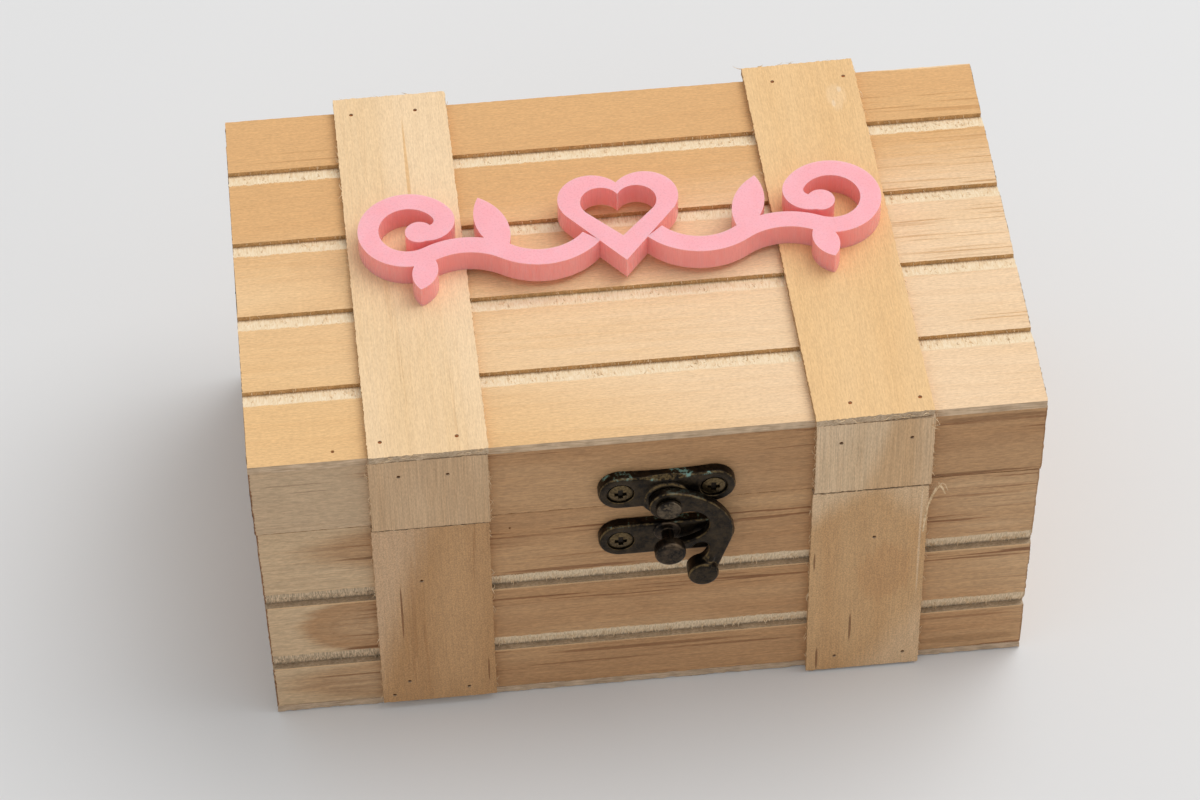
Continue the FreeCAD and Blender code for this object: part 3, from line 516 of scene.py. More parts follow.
boardStart = dict(rows=6, cuts=(3, 99), longEdge=4.0 * mm, endCuts=4, endEdge=1.2 * mm, grooves=(),
                  grooveWidth=3.5 * mm, grooveDepth=1.4 * mm, border=1.2 * mm, square=-1, slopeCuts=4,
                  slopeRough=0.20 * mm, slopeGrain=0.45 * mm, fray=0.42 * mm, frayGrain=0.55 * mm,
                  lip=0.20 * mm, lipGrain=0.8 * mm, edgeRough=0.16 * mm, edgeGrain=1.6 * mm,
                  endRough=0.5 * mm, endGrain=0.8 * mm, endStrip=0.7 * mm, endReach=0.1 * mm,
                  rimReach=1.3 * mm, edgeReach=0.3 * mm, wallReach=0.25 * mm, lean=0.0, thickness=5.0 * mm,
                  dimples=(), wallFinish=greyLedge, endFinish=endGrain, edgeFinish=sawnEdge)


def plankBoard(look):
    low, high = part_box(look["node"])
    along, stack, out, side = look["along"], look["stack"], look["out"], look["side"]
    half, depth, square = look["grooveWidth"] / 2, look["grooveDepth"], look["square"]
    outer, inner = (high, low) if side > 0 else (low, high)
    if look["lean"] and out == 0:
        inner[out] = outer[out] - side * look["thickness"]
    first, last = low.copy(), high.copy()
    outward = unitAlong(out, side)
    face = outer[out]
    floor = face - side * depth
    slopeTops = [middle - square * half for middle in look["grooves"]]
    lips = [middle + square * half for middle in look["grooves"]]
    if look["grooves"]:
        outer[out] = floor
    board = startBlock(look["name"], low, high)
    openEdit(board)
    sliceAt(along, first[along] + look["endStrip"])
    sliceAt(along, last[along] - look["endStrip"])
    for middle in look["grooves"]:
        for offset in (-half, half, -square * (half + look["border"])):
            sliceAt(stack, middle + offset)
    if look["grooves"]:
        # planks stand out of the groove floors, then each floor tips up into a slope
        pick(board, "FACE", lambda f: outward.dot(f.normal) > 0.9 and not any(
            abs(f.calc_center_median()[stack] - middle) < half - tiny for middle in look["grooves"]))
        bpy.ops.mesh.extrude_region_move(TRANSFORM_OT_translate={"value": outward * depth})
        pick(board, "VERT", lambda v: near(v.co[out], floor) and near(v.co[stack], *slopeTops))
        bpy.ops.transform.translate(value=outward * depth)
        pickAll()
        bpy.ops.mesh.remove_doubles(threshold=2 * weld)
        cutEdges(board, look["slopeCuts"], lambda e: abs(e.verts[0].co[out] - e.verts[1].co[out]) > depth / 2
                 and abs(e.verts[0].co[stack] - e.verts[1].co[stack]) > half)
    cutEdges(board, look["rows"], lambda e: runsAlong(e, stack) and e.calc_length() > look["longEdge"]
             and liesAt(e, out, face))
    for cuts in look["cuts"]:
        # one call makes at most a hundred cuts
        cutEdges(board, cuts, lambda e: runsAlong(e, along) and e.calc_length() > look["longEdge"])
    # finer points on the saw-cut ends
    cutEdges(board, look["endCuts"], lambda e: runsAlong(e, stack) and e.calc_length() > look["endEdge"]
             and liesAt(e, along, first[along], last[along]))
    closeEdit()
    cutDimples(board, look["dimples"])

    def slopeShare(co):
        # 0 on the planks, 0.5 at the slope's upper edge, 1 at its foot
        share = 0.0
        for top in slopeTops:
            down = (co[stack] - top) * square / (2 * half)
            if -look["border"] / (2 * half) - 0.01 < down < 1.01 and abs(co[out] - face) < depth + tiny:
                if down <= 0:
                    share = max(share, 0.5 * (1 + down * 2 * half / look["border"]))
                elif down < 0.995 or near(co[out], floor):
                    share = max(share, 0.5 + 0.5 * down)
        return share

    def onLip(co):
        # upper edge of a groove's square side
        return near(co[out], face) and near(co[stack], *lips)

    # torn runs from 0 to 1 over each slope and is -1 on each lip, where the painted highlight goes
    torn = board.data.attributes.new("torn", "FLOAT", "POINT")
    torn.data.foreach_set("value", [-1.0 if onLip(v.co) else slopeShare(v.co) for v in board.data.vertices])
    rim = board.data.attributes.new("rim", "FLOAT", "POINT")
    fromEnds = [min(v.co[along] - first[along], last[along] - v.co[along]) for v in board.data.vertices]
    rim.data.foreach_set("value", [max(0.0, 1 - far / look["rimReach"]) for far in fromEnds])
    if look["grooves"]:
        roughen(board, "slope", lambda co: 0.55 < slopeShare(co) < 0.97, "NORMAL", look["slopeRough"],
                look["slopeGrain"])
        roughen(board, "fray", lambda co: 0.45 < slopeShare(co) < 0.55, "XYZ"[stack], look["fray"],
                look["frayGrain"])
        roughen(board, "lip", onLip, "XYZ"[stack], look["lip"], look["lipGrain"])
    roughen(board, "edges", lambda co: near(co[out], face) and near(co[stack], first[stack], last[stack]),
            "NORMAL", look["edgeRough"], look["edgeGrain"], 1.0)
    roughenEnds(board, along, first[along], last[along], look["endReach"], look["endRough"], look["endGrain"])
    smoothSoftly(board)

    def onWall(f):
        # square side of a groove
        place = f.calc_center_median()[stack]
        return looksAlong(f, stack, 0.6) and any(abs(place - lip) < look["wallReach"] for lip in lips)

    def onEdge(f):
        place = f.calc_center_median()[stack]
        away = min(abs(place - first[stack]), abs(place - last[stack]))
        return looksAlong(f, stack) and away < look["edgeReach"]

    giveFaces(board, [(look["finish"], None), (look["wallFinish"], onWall),
                      (look["endFinish"], lambda f: looksAlong(f, along)), (look["edgeFinish"], onEdge)])
    if look["lean"]:
        # the ends come in a little towards the floor
        for vert in board.data.vertices:
            rise = (vert.co.z - first.z) / (last.z - first.z)
            vert.co.x -= look["lean"] * (1 - rise) * vert.co.x / look["halfTop"]
    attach(board, look["body"])
    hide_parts(look["node"])
    return board


lidPanelLook = dict(boardStart, name="lidPanelBoard", node="lid_panel", body="lid", slot="lid_pine", along=0,
                    stack=1, out=2, side=1, square=1, grooveDepth=1.1 * mm, endRough=0.4 * mm, finish=lidPine,
                    grooves=(-30.825 * mm, -9.975 * mm, 10.875 * mm, 31.725 * mm), wallFinish=grooveWall,
                    edgeFinish=panelEdge, dimples=[(Vector((-0.0628, -0.0467, 0.07855)), Vector((0, 0, 1)),
                                                     0.4 * mm, 0.5 * mm)])
lidPanel = plankBoard(lidPanelLook)
print("lid panel:", len(lidPanel.data.polygons), "faces")

boxSides = {"front": dict(along=0, out=1, side=-1), "back": dict(along=0, out=1, side=1),
            "left": dict(along=1, out=0, side=-1, cuts=(1, 99)),
            "right": dict(along=1, out=0, side=1, cuts=(1, 99))}
railLook = dict(boardStart, body="lid", slot="side_pine", stack=2, edgeRough=0.30 * mm)
wallLook = dict(railLook, body="box", grooves=(16.2 * mm, 36.1 * mm), lean=0.75 * mm, halfTop=79.75 * mm)
wallPines = {"front": frontPine, "back": backPine, "left": endPine, "right": endPine}
railPines = {"front": railPine, "back": backPine, "left": railEndPine, "right": railEndPine}
wallDimples = {"front": [(Vector((-0.0285, -0.0489, 0.0533)), Vector((0, -1, 0)), 0.3 * mm, 0.4 * mm)]}

walls = [plankBoard(dict(wallLook, **laid, name=way + "WallBoard", node=way + "_wall", finish=wallPines[way],
                         dimples=wallDimples.get(way, ()))) for way, laid in boxSides.items()]
print("walls:", [len(wall.data.polygons) for wall in walls])
rails = [plankBoard(dict(railLook, **laid, name=way + "RailBoard", node="lid_" + way + "_rail",
                         finish=railPines[way])) for way, laid in boxSides.items()]
print("rails:", [len(rail.data.polygons) for rail in rails])

basePanelLook = dict(boardStart, name="basePanelBoard", node="base_panel", body="box", slot="base_ply",
                     along=0, stack=1, out=2, side=-1, edgeRough=0.5 * mm, finish=plyFinish,
                     wallFinish=plyEdge, endFinish=plyEdge, edgeFinish=plyEdge)
basePanel = plankBoard(basePanelLook)
print("base panel:", len(basePanel.data.polygons), "faces")


# straps: along, across and out are the axes of the length, the width and the outer face

strapStart = dict(cuts=(1, 99), rows=9, endCuts=4, edgeRough=0.42 * mm, endRough=0.6 * mm, grain=0.6 * mm,
                  skew=0.0, bradRadius=0.46 * mm, bradDepth=0.45 * mm, bradWidth=2.0 * mm)


def bradPlaces(node):
    # low and high corner of each brad, read from the loose islands of the part
    cage = bmesh.new()
    cage.from_mesh(nodes[node].data)
    bmesh.ops.remove_doubles(cage, verts=cage.verts, dist=weld)
    left = set(cage.verts)
    places = []
    while left:
        island = [left.pop()]
        for vert in island:
            for edge in vert.link_edges:
                other = edge.other_vert(vert)
                if other in left:
                    left.discard(other)
                    island.append(other)
        places.append([Vector([end(v.co[i] for v in island) for i in range(3)]) for end in (min, max)])
    cage.free()
    return places


def strapBox(look):
    # corners of the strap before it is laid askew
    low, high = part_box(look["node"])
    if look["skew"]:
        middle = (low + high) / 2
        for axis, size in ((look["across"], look["width"]), (look["along"], look["length"])):
            low[axis], high[axis] = middle[axis] - size / 2, middle[axis] + size / 2
    return low, high


bradBoxes = bradPlaces("lid_strap_brads") + bradPlaces("box_strap_brads")


def strapDimples(look, low, high, face):
    along, across, out = look["along"], look["across"], look["out"]
    dimples = []
    for bradLow, bradHigh in bradBoxes:
        head = (bradLow + bradHigh) / 2
        head[out] = face
        inside = all(low[i] - mm < head[i] < high[i] + mm for i in (along, across))
        thin = all(bradHigh[i] - bradLow[i] < look["bradWidth"] for i in (along, across))
        close = min(abs(bradLow[out] - face), abs(bradHigh[out] - face)) < mm
        if inside and thin and close:
            dimples.append((head, unitAlong(out, look["side"]), look["bradRadius"], look["bradDepth"]))
    return dimples


def strapBoard(look):
    low, high = strapBox(look)
    along, across, out = look["along"], look["across"], look["out"]
    face = high[out] if look["side"] > 0 else low[out]
    strap = startBlock(look["name"], low, high)
    openEdit(strap)
    cutEdges(strap, look["rows"], lambda e: runsAlong(e, across))
    for cuts in look["cuts"]:
        cutEdges(strap, cuts, lambda e: runsAlong(e, along))
    # finer points on the torn ends
    cutEdges(strap, look["endCuts"],
             lambda e: runsAlong(e, across) and liesAt(e, along, low[along], high[along]))
    closeEdit()
    roughen(strap, "sides", lambda co: near(co[across], low[across], high[across]), "XYZ"[across],
            look["edgeRough"], look["grain"])
    roughenEnds(strap, along, low[along], high[along], tiny, look["endRough"], look["grain"])
    if look["skew"]:
        openEdit(strap)
        pickAll()
        bpy.ops.transform.rotate(value=math.radians(-look["skew"]), orient_axis="Z",
                                 center_override=(low + high) / 2)
        closeEdit()
    cutDimples(strap, strapDimples(look, low, high, face))
    smoothSoftly(strap)
    giveFaces(strap, [(look["finish"], None), (strapEnd, lambda f: looksAlong(f, along)),
                      (strapSide, lambda f: looksAlong(f, across))])
    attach(strap, look["body"])
    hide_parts(look["node"])
    return strap


strapWear = dict(torn=False, ringForce=0.10, streakForce=0.45, streakFrom=0.56, glowForce=0.18,
                 dark=(0.42, 0.21, 0.08), streak=(0.34, 0.16, 0.06))
topStrapWear = dict(strapWear, grain="y", fleckForce=0.14, dark=(0.62, 0.36, 0.15), glow=(0.76, 0.50, 0.24),
                    dashScale=(1.1, 3.4, 3.4), dashForce=0.075, fibreForce=0.065, streakForce=0.15,
                    fibreScale=(0.25, 4.0, 4.0), streak=(0.60, 0.32, 0.12))
frontStrapWear = dict(strapWear, grain="z")
# fine upright lines on the lid's short straps, grains and cracks on the long ones
lidStrapWear = dict(frontStrapWear, fibreScale=(0.07, 3.8, 3.8), fibreForce=0.14, dashScale=(1.2, 3.6, 3.6),
                    dashForce=0.10)
boxStrapWear = dict(frontStrapWear, dashScale=(2.6, 3.6, 3.6), dashForce=0.17, fibreForce=0.08, bump=0.7)
crackTone = (0.22, 0.10, 0.04)
rubTone = (0.95, 0.85, 0.70)


def strapPine(name, wear, light, mid, shift, **more):
    return pineFinish(name, dict(sidePine, **dict(wear, light=light, mid=mid, shift=shift, **more)))


strapSide = sawnFinish("strap_side", (0.64, 0.43, 0.23), (0.40, 0.23, 0.105), shift=(1, 9, 5))
strapEnd = sawnFinish("strap_end", (0.62, 0.465, 0.315), (0.43, 0.30, 0.185),
                      (2.0, 3.0, 3.0), (8, 2, 5), 0.15)
topLeftPine = strapPine(
    "top_left_strap_pine", topStrapWear, (0.87, 0.635, 0.39), (0.83, 0.585, 0.335), (3, 41, 2),
    marks=spotsOn(2, 80, 10, [(-42.5, 27.0, 0.35, 18.0, (0.70, 0.39, 0.14), 0.6)]))
topRightPine = strapPine(
    "top_right_strap_pine", topStrapWear, (0.82, 0.54, 0.27), (0.795, 0.505, 0.238), (77, 9, 2),
    marks=spotsOn(2, 80, 10, [
        (49.7, 40.5, 2.2, 4.0, (0.93, 0.78, 0.58), 0.14), (50.6, 42.5, 0.5, 0.9, rubTone, 0.25),
        (48.9, 38.4, 0.4, 1.0, rubTone, 0.22)]))
lidLeftPine = strapPine(
    "lid_left_strap_pine", lidStrapWear, (0.64, 0.435, 0.26), (0.575, 0.37, 0.205), (2, 5, 60),
    drifts=[((0.57, 0.36, 0.19), (0.06, 0, 0), 2.2)])
lidRightPine = strapPine(
    "lid_right_strap_pine", lidStrapWear, (0.76, 0.555, 0.36), (0.68, 0.48, 0.29), (22, 6, 90),
    drifts=[((0.62, 0.395, 0.21), (0.24, 0, -0.058), -6.6), ((0.68, 0.465, 0.275), (0.25, 0, 0), -13.0)])
boxLeftPine = strapPine(
    "box_left_strap_pine", boxStrapWear, (0.535, 0.31, 0.148), (0.475, 0.262, 0.116), (52, 15, 6),
    drifts=[((0.615, 0.40, 0.235), (-0.13, 0, 0.032), -7.27)],
    marks=spotsOn(1, -50.8, 30, [
        (-51.4, 30.5, 0.22, 8.5, crackTone, 0.85), (-34.1, 10.6, 0.22, 4.0, crackTone, 0.8)]))
boxRightPine = strapPine(
    "box_right_strap_pine", boxStrapWear, (0.615, 0.38, 0.188), (0.555, 0.318, 0.146), (12, 35, 16),
    drifts=[((0.70, 0.49, 0.295), (-0.09, 0, 0.10), -1.4), ((0.69, 0.47, 0.275), (0.10, 0, 0.08), -8.87),
            ((0.67, 0.45, 0.26), (0.10, 0, -0.06), -3.95)],
    marks=spotsOn(1, -50.8, 30, [
        (48.5, 31.0, 6.0, 9.5, (0.52, 0.275, 0.118), 0.5), (41.8, 14.1, 0.30, 4.8, crackTone, 0.8),
        (33.8, 36.0, 0.22, 3.0, crackTone, 0.8), (35.0, 4.5, 0.28, 3.6, crackTone, 0.8),
        (55.4, 40.0, 0.30, 19.0, (0.80, 0.60, 0.40), 0.45)]))
backStrapPine = strapPine(
    "back_strap_pine", frontStrapWear, (0.64, 0.41, 0.215), (0.57, 0.335, 0.16), (33, 66, 6))

topStrapLook = dict(strapStart, body="lid", along=1, across=0, out=2, side=1, width=23.8 * mm,
                    length=102.7 * mm)
topLooks = [dict(topStrapLook, name="top" + hand + "Strap", node="lid_top_strap_" + hand.lower(), skew=skew,
                 finish=wood)
            for hand, skew, wood in (("Left", 0.4, topLeftPine), ("Right", 1.25, topRightPine))]
frontStrapLook = dict(strapStart, along=2, across=0, out=1, side=-1, endRough=0.36 * mm)
frontPines = {"lid": {"Left": lidLeftPine, "Right": lidRightPine},
              "box": {"Left": boxLeftPine, "Right": boxRightPine}}
seamTears = {"Left": 0.36 * mm, "Right": 0.5 * mm}    # the right straps are torn more at the seam
bodyCuts = {"lid": (49,), "box": (99,)}
frontLooks, backLooks = {"lid": [], "box": []}, []
for body, cuts in bodyCuts.items():
    for hand, tear in seamTears.items():
        strapLook = dict(frontStrapLook, body=body, cuts=cuts)
        frontLooks[body].append(dict(strapLook, name=body + "Front" + hand + "Strap", endRough=tear,
                                     node=body + "_front_strap_" + hand.lower(),
                                     finish=frontPines[body][hand]))
        backLooks.append(dict(strapLook, name=body + "Back" + hand + "Strap", side=1,
                              node=body + "_back_strap_" + hand.lower(), finish=backStrapPine))
straps = [strapBoard(look) for look in topLooks + frontLooks["lid"] + frontLooks["box"] + backLooks]
print("straps:", len(straps), "with", sum(len(strap.data.polygons) for strap in straps), "faces")


# torn fibres: one bent sliver, copied along the grooves, the strap edges and the seam

sliverLook = dict(radius=0.06 * mm, tip=0.15, length=1.0 * mm, bow=0.12 * mm, sides=4, seed=7)
dice = random.Random(sliverLook["seed"])

sliver = startFrom(bpy.ops.mesh.primitive_cone_add, vertices=sliverLook["sides"], depth=sliverLook["length"],
                   radius1=sliverLook["radius"], radius2=sliverLook["tip"] * sliverLook["radius"],
                   location=(0, 0, sliverLook["length"] / 2))
settle()
openEdit(sliver)
cutEdges(sliver, 2, lambda e: runsAlong(e, 2))
pick(sliver, "VERT", lambda v: 0.1 < v.co.z / sliverLook["length"] < 0.9)
bpy.ops.transform.translate(value=(sliverLook["bow"], 0, 0))
closeEdit()


def roll(look, *keys):
    return [dice.uniform(*look[key]) for key in keys]


def sliverAt(place, way, length, width):
    # length and width are multiples of the one sliver's
    fibre = show(sliver.name, sliver.data.copy())
    spin = Matrix.Rotation(dice.uniform(0, 2 * math.pi), 4, "Z")
    size = Matrix.Diagonal((width, width, length, 1))
    fibre.data.transform(Matrix.Translation(place) @ turnTo(way) @ spin @ size)
    return fibre


def joinFibres(name, fibres, body, finishes):
    selectOnly(*fibres)
    bpy.ops.object.join()
    tuft = bpy.context.object
    tuft.name = name
    tuft.data.materials.clear()
    giveFaces(tuft, finishes)
    smoothSoftly(tuft, 60)
    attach(tuft, body)
    return tuft


strapSpan = dict(place=44.4 * mm, half=12.6 * mm)


def clearOfStraps(x):
    return abs(abs(x) - strapSpan["place"]) > strapSpan["half"]


# across, down and the rest are ranges; lengths and widths count slivers
lidFibre = dict(count=330, across=(-78.8 * mm, 78.8 * mm), down=(-0.08, 0.55), slopeShare=0.55,
                lean=(-0.45, 0.45), rise=(0.0, 0.25), length=(0.6, 1.6), width=(1.2, 2.4), inset=0.1 * mm,
                hang=-0.3, hangSize=0.6)
wallFibre = dict(count=330, across=(-78.406 * mm, 78.406 * mm), down=(-0.06, 0.75), lean=(-0.3, 0.3),
                 rise=(0.0, 0.45), length=(0.8, 2.0), width=(1.2, 2.4))


def grooveFibres(look, board):
    fibres = []
    low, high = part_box(board["node"])
    half, depth = board["grooveWidth"] / 2, board["grooveDepth"]
    stack, out, side, square = board["stack"], board["out"], board["side"], board["square"]
    face = high[out] if side > 0 else low[out]
    for middle in board["grooves"]:
        for count in range(look["count"]):
            x, down = roll(look, "across", "down")
            onSlope = "hang" not in look or dice.random() < look["slopeShare"]
            lean, rise, length, width = roll(look, "lean", "rise", "length", "width")
            place, way = Vector((x, 0, 0)), Vector((lean, 0, 0))
            if onSlope:
                # lies down the slope
                place[stack] = middle - square * half * (1 - 2 * down)
                place[out] = face - side * depth * max(down, 0)
                way[stack], way[out] = square, side * (rise - depth / (2 * half))
            else:
                # hangs over the groove from its square edge
                place[stack] = middle + square * (half + look["inset"])
                place[out] = face - side * (look["inset"] + 0.5 * depth * abs(down))
                way[stack], way[out] = -square, side * (look["hang"] - rise)
                length, width = look["hangSize"] * length, look["hangSize"] * width
            if clearOfStraps(x):
                fibres.append(sliverAt(place, way, length, width))
    return fibres


edgeFibre = dict(perEdge=26, perEnd=12, inset=0.15 * mm, depth=(0.05 * mm, 1.1 * mm), outward=(0.15, 0.6),
                 lift=(0, 0.2), length=(0.8, 2.4), width=(1.0, 2.2), lowest=2.5 * mm)


def strapEdgeFibres(look):
    fibres = []
    low, high = strapBox(look)
    along, across, out, side = look["along"], look["across"], look["out"], look["side"]
    middle = (low + high) / 2
    turn = Matrix.Rotation(math.radians(look["skew"]), 4, "Z")
    face = high[out] if side > 0 else low[out]
    edges = [(across, end, along) for end in (-1, 1) for count in range(edgeFibre["perEdge"])]
    edges += [(along, end, across) for end in (-1, 1) for count in range(edgeFibre["perEnd"])]
    for facing, end, running in edges:
        place, way = Vector((0, 0, 0)), Vector((0, 0, 0))
        place[facing] = (high[facing] if end > 0 else low[facing]) - end * edgeFibre["inset"]
        place[running] = dice.uniform(low[running], high[running])
        depth, outward = roll(edgeFibre, "depth", "outward")
        place[out] = face - side * depth
        way[facing] = end * outward
        way[running] = dice.choice((-1, 1))
        lift, length, width = roll(edgeFibre, "lift", "length", "width")
        way[out] = side * lift
        if place.z > edgeFibre["lowest"]:
            place = middle + turn @ (place - middle)
            fibres.append(sliverAt(place, turn @ way, length, width))
    return fibres


# curled splinters that stand off the right strap at the seam, x and z in millimetres
curlLook = dict(radius=0.30 * mm, sides=5, taper=0.82, y=-50.3, yStep=-0.16, paths=(
    ((56.0, 43.0), (56.3, 48.0), (56.9, 53.0), (58.0, 56.6), (59.2, 58.3), (59.8, 57.9), (60.4, 56.2)),
    ((56.0, 46.0), (56.6, 51.0), (57.8, 55.2), (58.7, 57.2)), ((58.6, 57.4), (59.4, 56.2), (60.0, 54.6))))


def splinter(path):
    # drawn out ring by ring
    points = [Vector((x, curlLook["y"] + curlLook["yStep"] * step, z)) * mm
              for step, (x, z) in enumerate(path)]
    curl = startFrom(bpy.ops.mesh.primitive_circle_add, vertices=curlLook["sides"], fill_type="NGON",
                     radius=curlLook["radius"], location=points[0])
    settle()
    openEdit(curl)
    pickAll()
    taper = curlLook["taper"]
    for before, after in zip(points, points[1:]):
        bpy.ops.mesh.extrude_region_move(TRANSFORM_OT_translate={"value": after - before})
        bpy.ops.transform.resize(value=(taper, taper, taper), center_override=after)
    pickAll()
    bpy.ops.mesh.normals_make_consistent(inside=False)
    closeEdit()
    return curl


# tuft at the upper right corner of the lid's right front strap, in millimetres
tuftLook = dict(count=16, x=(55.8, 56.4), y=(-50.7, -49.6), z=(74.5, 77.5), wayY=(-0.4, 0.1),
                wayZ=(-0.5, 0.9), length=(1.0, 2.2), width=1.8)


def cornerFibre():
    place = Vector(roll(tuftLook, "x", "y", "z")) * mm
    wayY, wayZ, length = roll(tuftLook, "wayY", "wayZ", "length")
    return sliverAt(place, Vector((1, wayY, wayZ)), length, tuftLook["width"])


fibreGrain = dict(scale=(1.2, 1.2, 1.2), ringForce=0.1)
tornFibre = sawnFinish("torn_fibre", (0.90, 0.71, 0.48), (0.66, 0.46, 0.26), shift=(6, 1, 3), **fibreGrain)
strapFibre = sawnFinish("strap_fibre", (0.84, 0.64, 0.41), (0.58, 0.38, 0.20), shift=(2, 7, 3), **fibreGrain)
greyFibre = sawnFinish("grey_fibre", (0.64, 0.475, 0.31), (0.30, 0.22, 0.14), shift=(4, 4, 3), **fibreGrain)
wallFibreFinishes = [(tornFibre, None), (greyFibre, lambda f: f.calc_center_median().x < -strapSpan["place"]),
                     (strapFibre, lambda f: f.calc_center_median().x > strapSpan["place"])]
curls = [splinter(path) for path in curlLook["paths"]]
cornerTuft = [cornerFibre() for count in range(tuftLook["count"])]
frontWallLook = dict(wallLook, **boxSides["front"], node="front_wall")
fibreTufts = [joinFibres("lidGrooveFibres", grooveFibres(lidFibre, lidPanelLook), "lid",
                         [(tornFibre, None)]),
              joinFibres("wallGrooveFibres", grooveFibres(wallFibre, frontWallLook), "box",
                         wallFibreFinishes)]
for name, start, body, looks in (("lidStrapFibres", cornerTuft, "lid", topLooks + frontLooks["lid"]),
                                 ("boxStrapFibres", curls, "box", frontLooks["box"])):
    fibres = start + [fibre for look in looks for fibre in strapEdgeFibres(look)]
    fibreTufts.append(joinFibres(name, fibres, body, [(strapFibre, None)]))
bpy.data.objects.remove(sliver)
print("torn fibres:", [len(tuft.data.polygons) for tuft in fibreTufts])


# metal

def bronzeFinish(name, look):
    finish, shader, coords = newFinish(name)
    spot = inMillimetres(coords)
    place, facing = split(spot), split(coords.outputs["Normal"])
    flat = sums("ABSOLUTE", facing[1])
    grit = stretched(spot, (1.6, 1.6, 1.6), 4.0, 0.65)
    patch = stretched(spot, (0.35, 0.35, 0.35), 3.0, 0.6)
    # rubbed brighter on the raised faces; the rounded rims rubbed brighter too, partly a painted highlight
    rim = times(fade(flat, 0.25, 0.55), fade(flat, 0.90, 0.74),
                fade(plus(grit, patch), 0.82, 1.12), look["rim"])
    raised = fade(sums("ABSOLUTE", place[1]), look["rubFrom"] - 0.3, look["rubFrom"])
    rub = times(fade(flat, 0.90, 0.99), fade(grit, 0.42, 0.62), raised, look["rub"])
    tone = blend(fade(patch, 0.35, 0.65), look["dark"], look["brown"])
    tone = blend(sums("MAXIMUM", rim, rub), tone, look["worn"])
    # green crust on the upper edges
    crust = times(fade(patch, 0.52, 0.62), fade(grit, 0.42, 0.58), fade(facing[2], 0.15, 0.75),
                  fade(place[2], look["crustFrom"], look["crustFrom"] + 0.8), look["crust"])
    tone = blend(crust, tone, look["verdigris"])
    feed(shader, {"Base Color": tone, "Normal": bumpy(grit, 0.3, 0.12 * mm),
                  "Metallic": times(sums("SUBTRACT", 1.0, crust), 0.9),
                  "Roughness": fade(grit, 0.25, 0.75, look["smooth"], look["smooth"] + 0.22)})
    return finish


# the bright tone is wear, and along the rims also a painted highlight
bronzeLook = dict(dark=(0.012, 0.0095, 0.0078), brown=(0.042, 0.030, 0.019), worn=(0.20, 0.132, 0.054),
                  verdigris=(0.20, 0.42, 0.38), rim=0.7, rub=0.10, rubFrom=40.0, crust=0.7, crustFrom=66.0,
                  smooth=0.26)
plateBronze = bronzeFinish("plate_bronze", bronzeLook)
catchBronze = bronzeFinish("catch_bronze", dict(bronzeLook, crust=0.5, crustFrom=52.4))
hookBronze = bronzeFinish("hook_bronze", dict(bronzeLook, crust=0.1, crustFrom=50.0))
rivetBronze = bronzeFinish("rivet_bronze", dict(bronzeLook, brown=(0.10, 0.075, 0.05), rub=0.6, rubFrom=55.0,
                                                worn=(0.20, 0.15, 0.095), crust=0.0))
postBronze = bronzeFinish("post_bronze", dict(bronzeLook, brown=(0.075, 0.050, 0.031), rub=0.25, rubFrom=57.8,
                                              worn=(0.15, 0.105, 0.066), crust=0.0))

castLook = dict(voxel=0.13 * mm, force=0.5, platePasses=10, hookPasses=26)


def castPiece(name, node, body, finish, passes):
    # the part's own form with the soft edges of a casting
    cast = show(name, nodes[node].data.copy())
    openEdit(cast)
    pickAll()
    bpy.ops.mesh.remove_doubles(threshold=weld)
    closeEdit()
    skin = cast.modifiers.new("skin", "REMESH")
    skin.mode = "VOXEL"
    skin.voxel_size = castLook["voxel"]
    applyTo(cast, skin)
    soften = cast.modifiers.new("soften", "SMOOTH")
    soften.factor = castLook["force"]
    soften.iterations = castLook[passes]
    applyTo(cast, soften)
    bpy.ops.object.shade_smooth()
    cast.data.materials.clear()
    cast.data.materials.append(finish)
    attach(cast, body)
    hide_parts(node)
    return cast


castings = [castPiece("hookPlateCasting", "hook_plate", "lid", plateBronze, "platePasses"),
            castPiece("catchPlateCasting", "catch_plate", "box", catchBronze, "platePasses"),
            castPiece("hookCasting", "latch_hook", "hook", hookBronze, "hookPasses"),
            castPiece("rivetCasting", "hook_rivet", "lid", rivetBronze, "platePasses"),
            castPiece("postCasting", "catch_post", "box", postBronze, "hookPasses")]
print("latch castings:", [len(cast.data.polygons) for cast in castings])

brassLook = dict(light=(0.150, 0.105, 0.050), dark=(0.070, 0.047, 0.023), cross=(0.022, 0.016, 0.011),
                 crossFrom=0.40, crossTo=0.54, metallic=0.92)


def brassFinish(name, face, side):
    # worn brass heads with crosses painted dark as shade in their recesses: face is where the head's top
    # lies, side the way it looks
    finish, shader, coords = newFinish(name)
    spot = inMillimetres(coords)
    below = times(sums("SUBTRACT", face, split(spot)[1]), side)
    grit = stretched(spot, (2.2, 2.2, 2.2), 3.0, 0.6)
    # the deeper into the cross, the darker: painted shade
    recessShade = fade(plus(below, times(grit, 0.1)), brassLook["crossFrom"], brassLook["crossTo"])
    tone = blend(fade(grit, 0.35, 0.68), brassLook["light"], brassLook["dark"])
    tone = blend(recessShade, tone, brassLook["cross"])
    feed(shader, {"Base Color": tone, "Roughness": fade(grit, 0.2, 0.8, 0.28, 0.50),
                  "Normal": bumpy(grit, 0.2, 0.1 * mm), "Metallic": brassLook["metallic"]})
    return finish


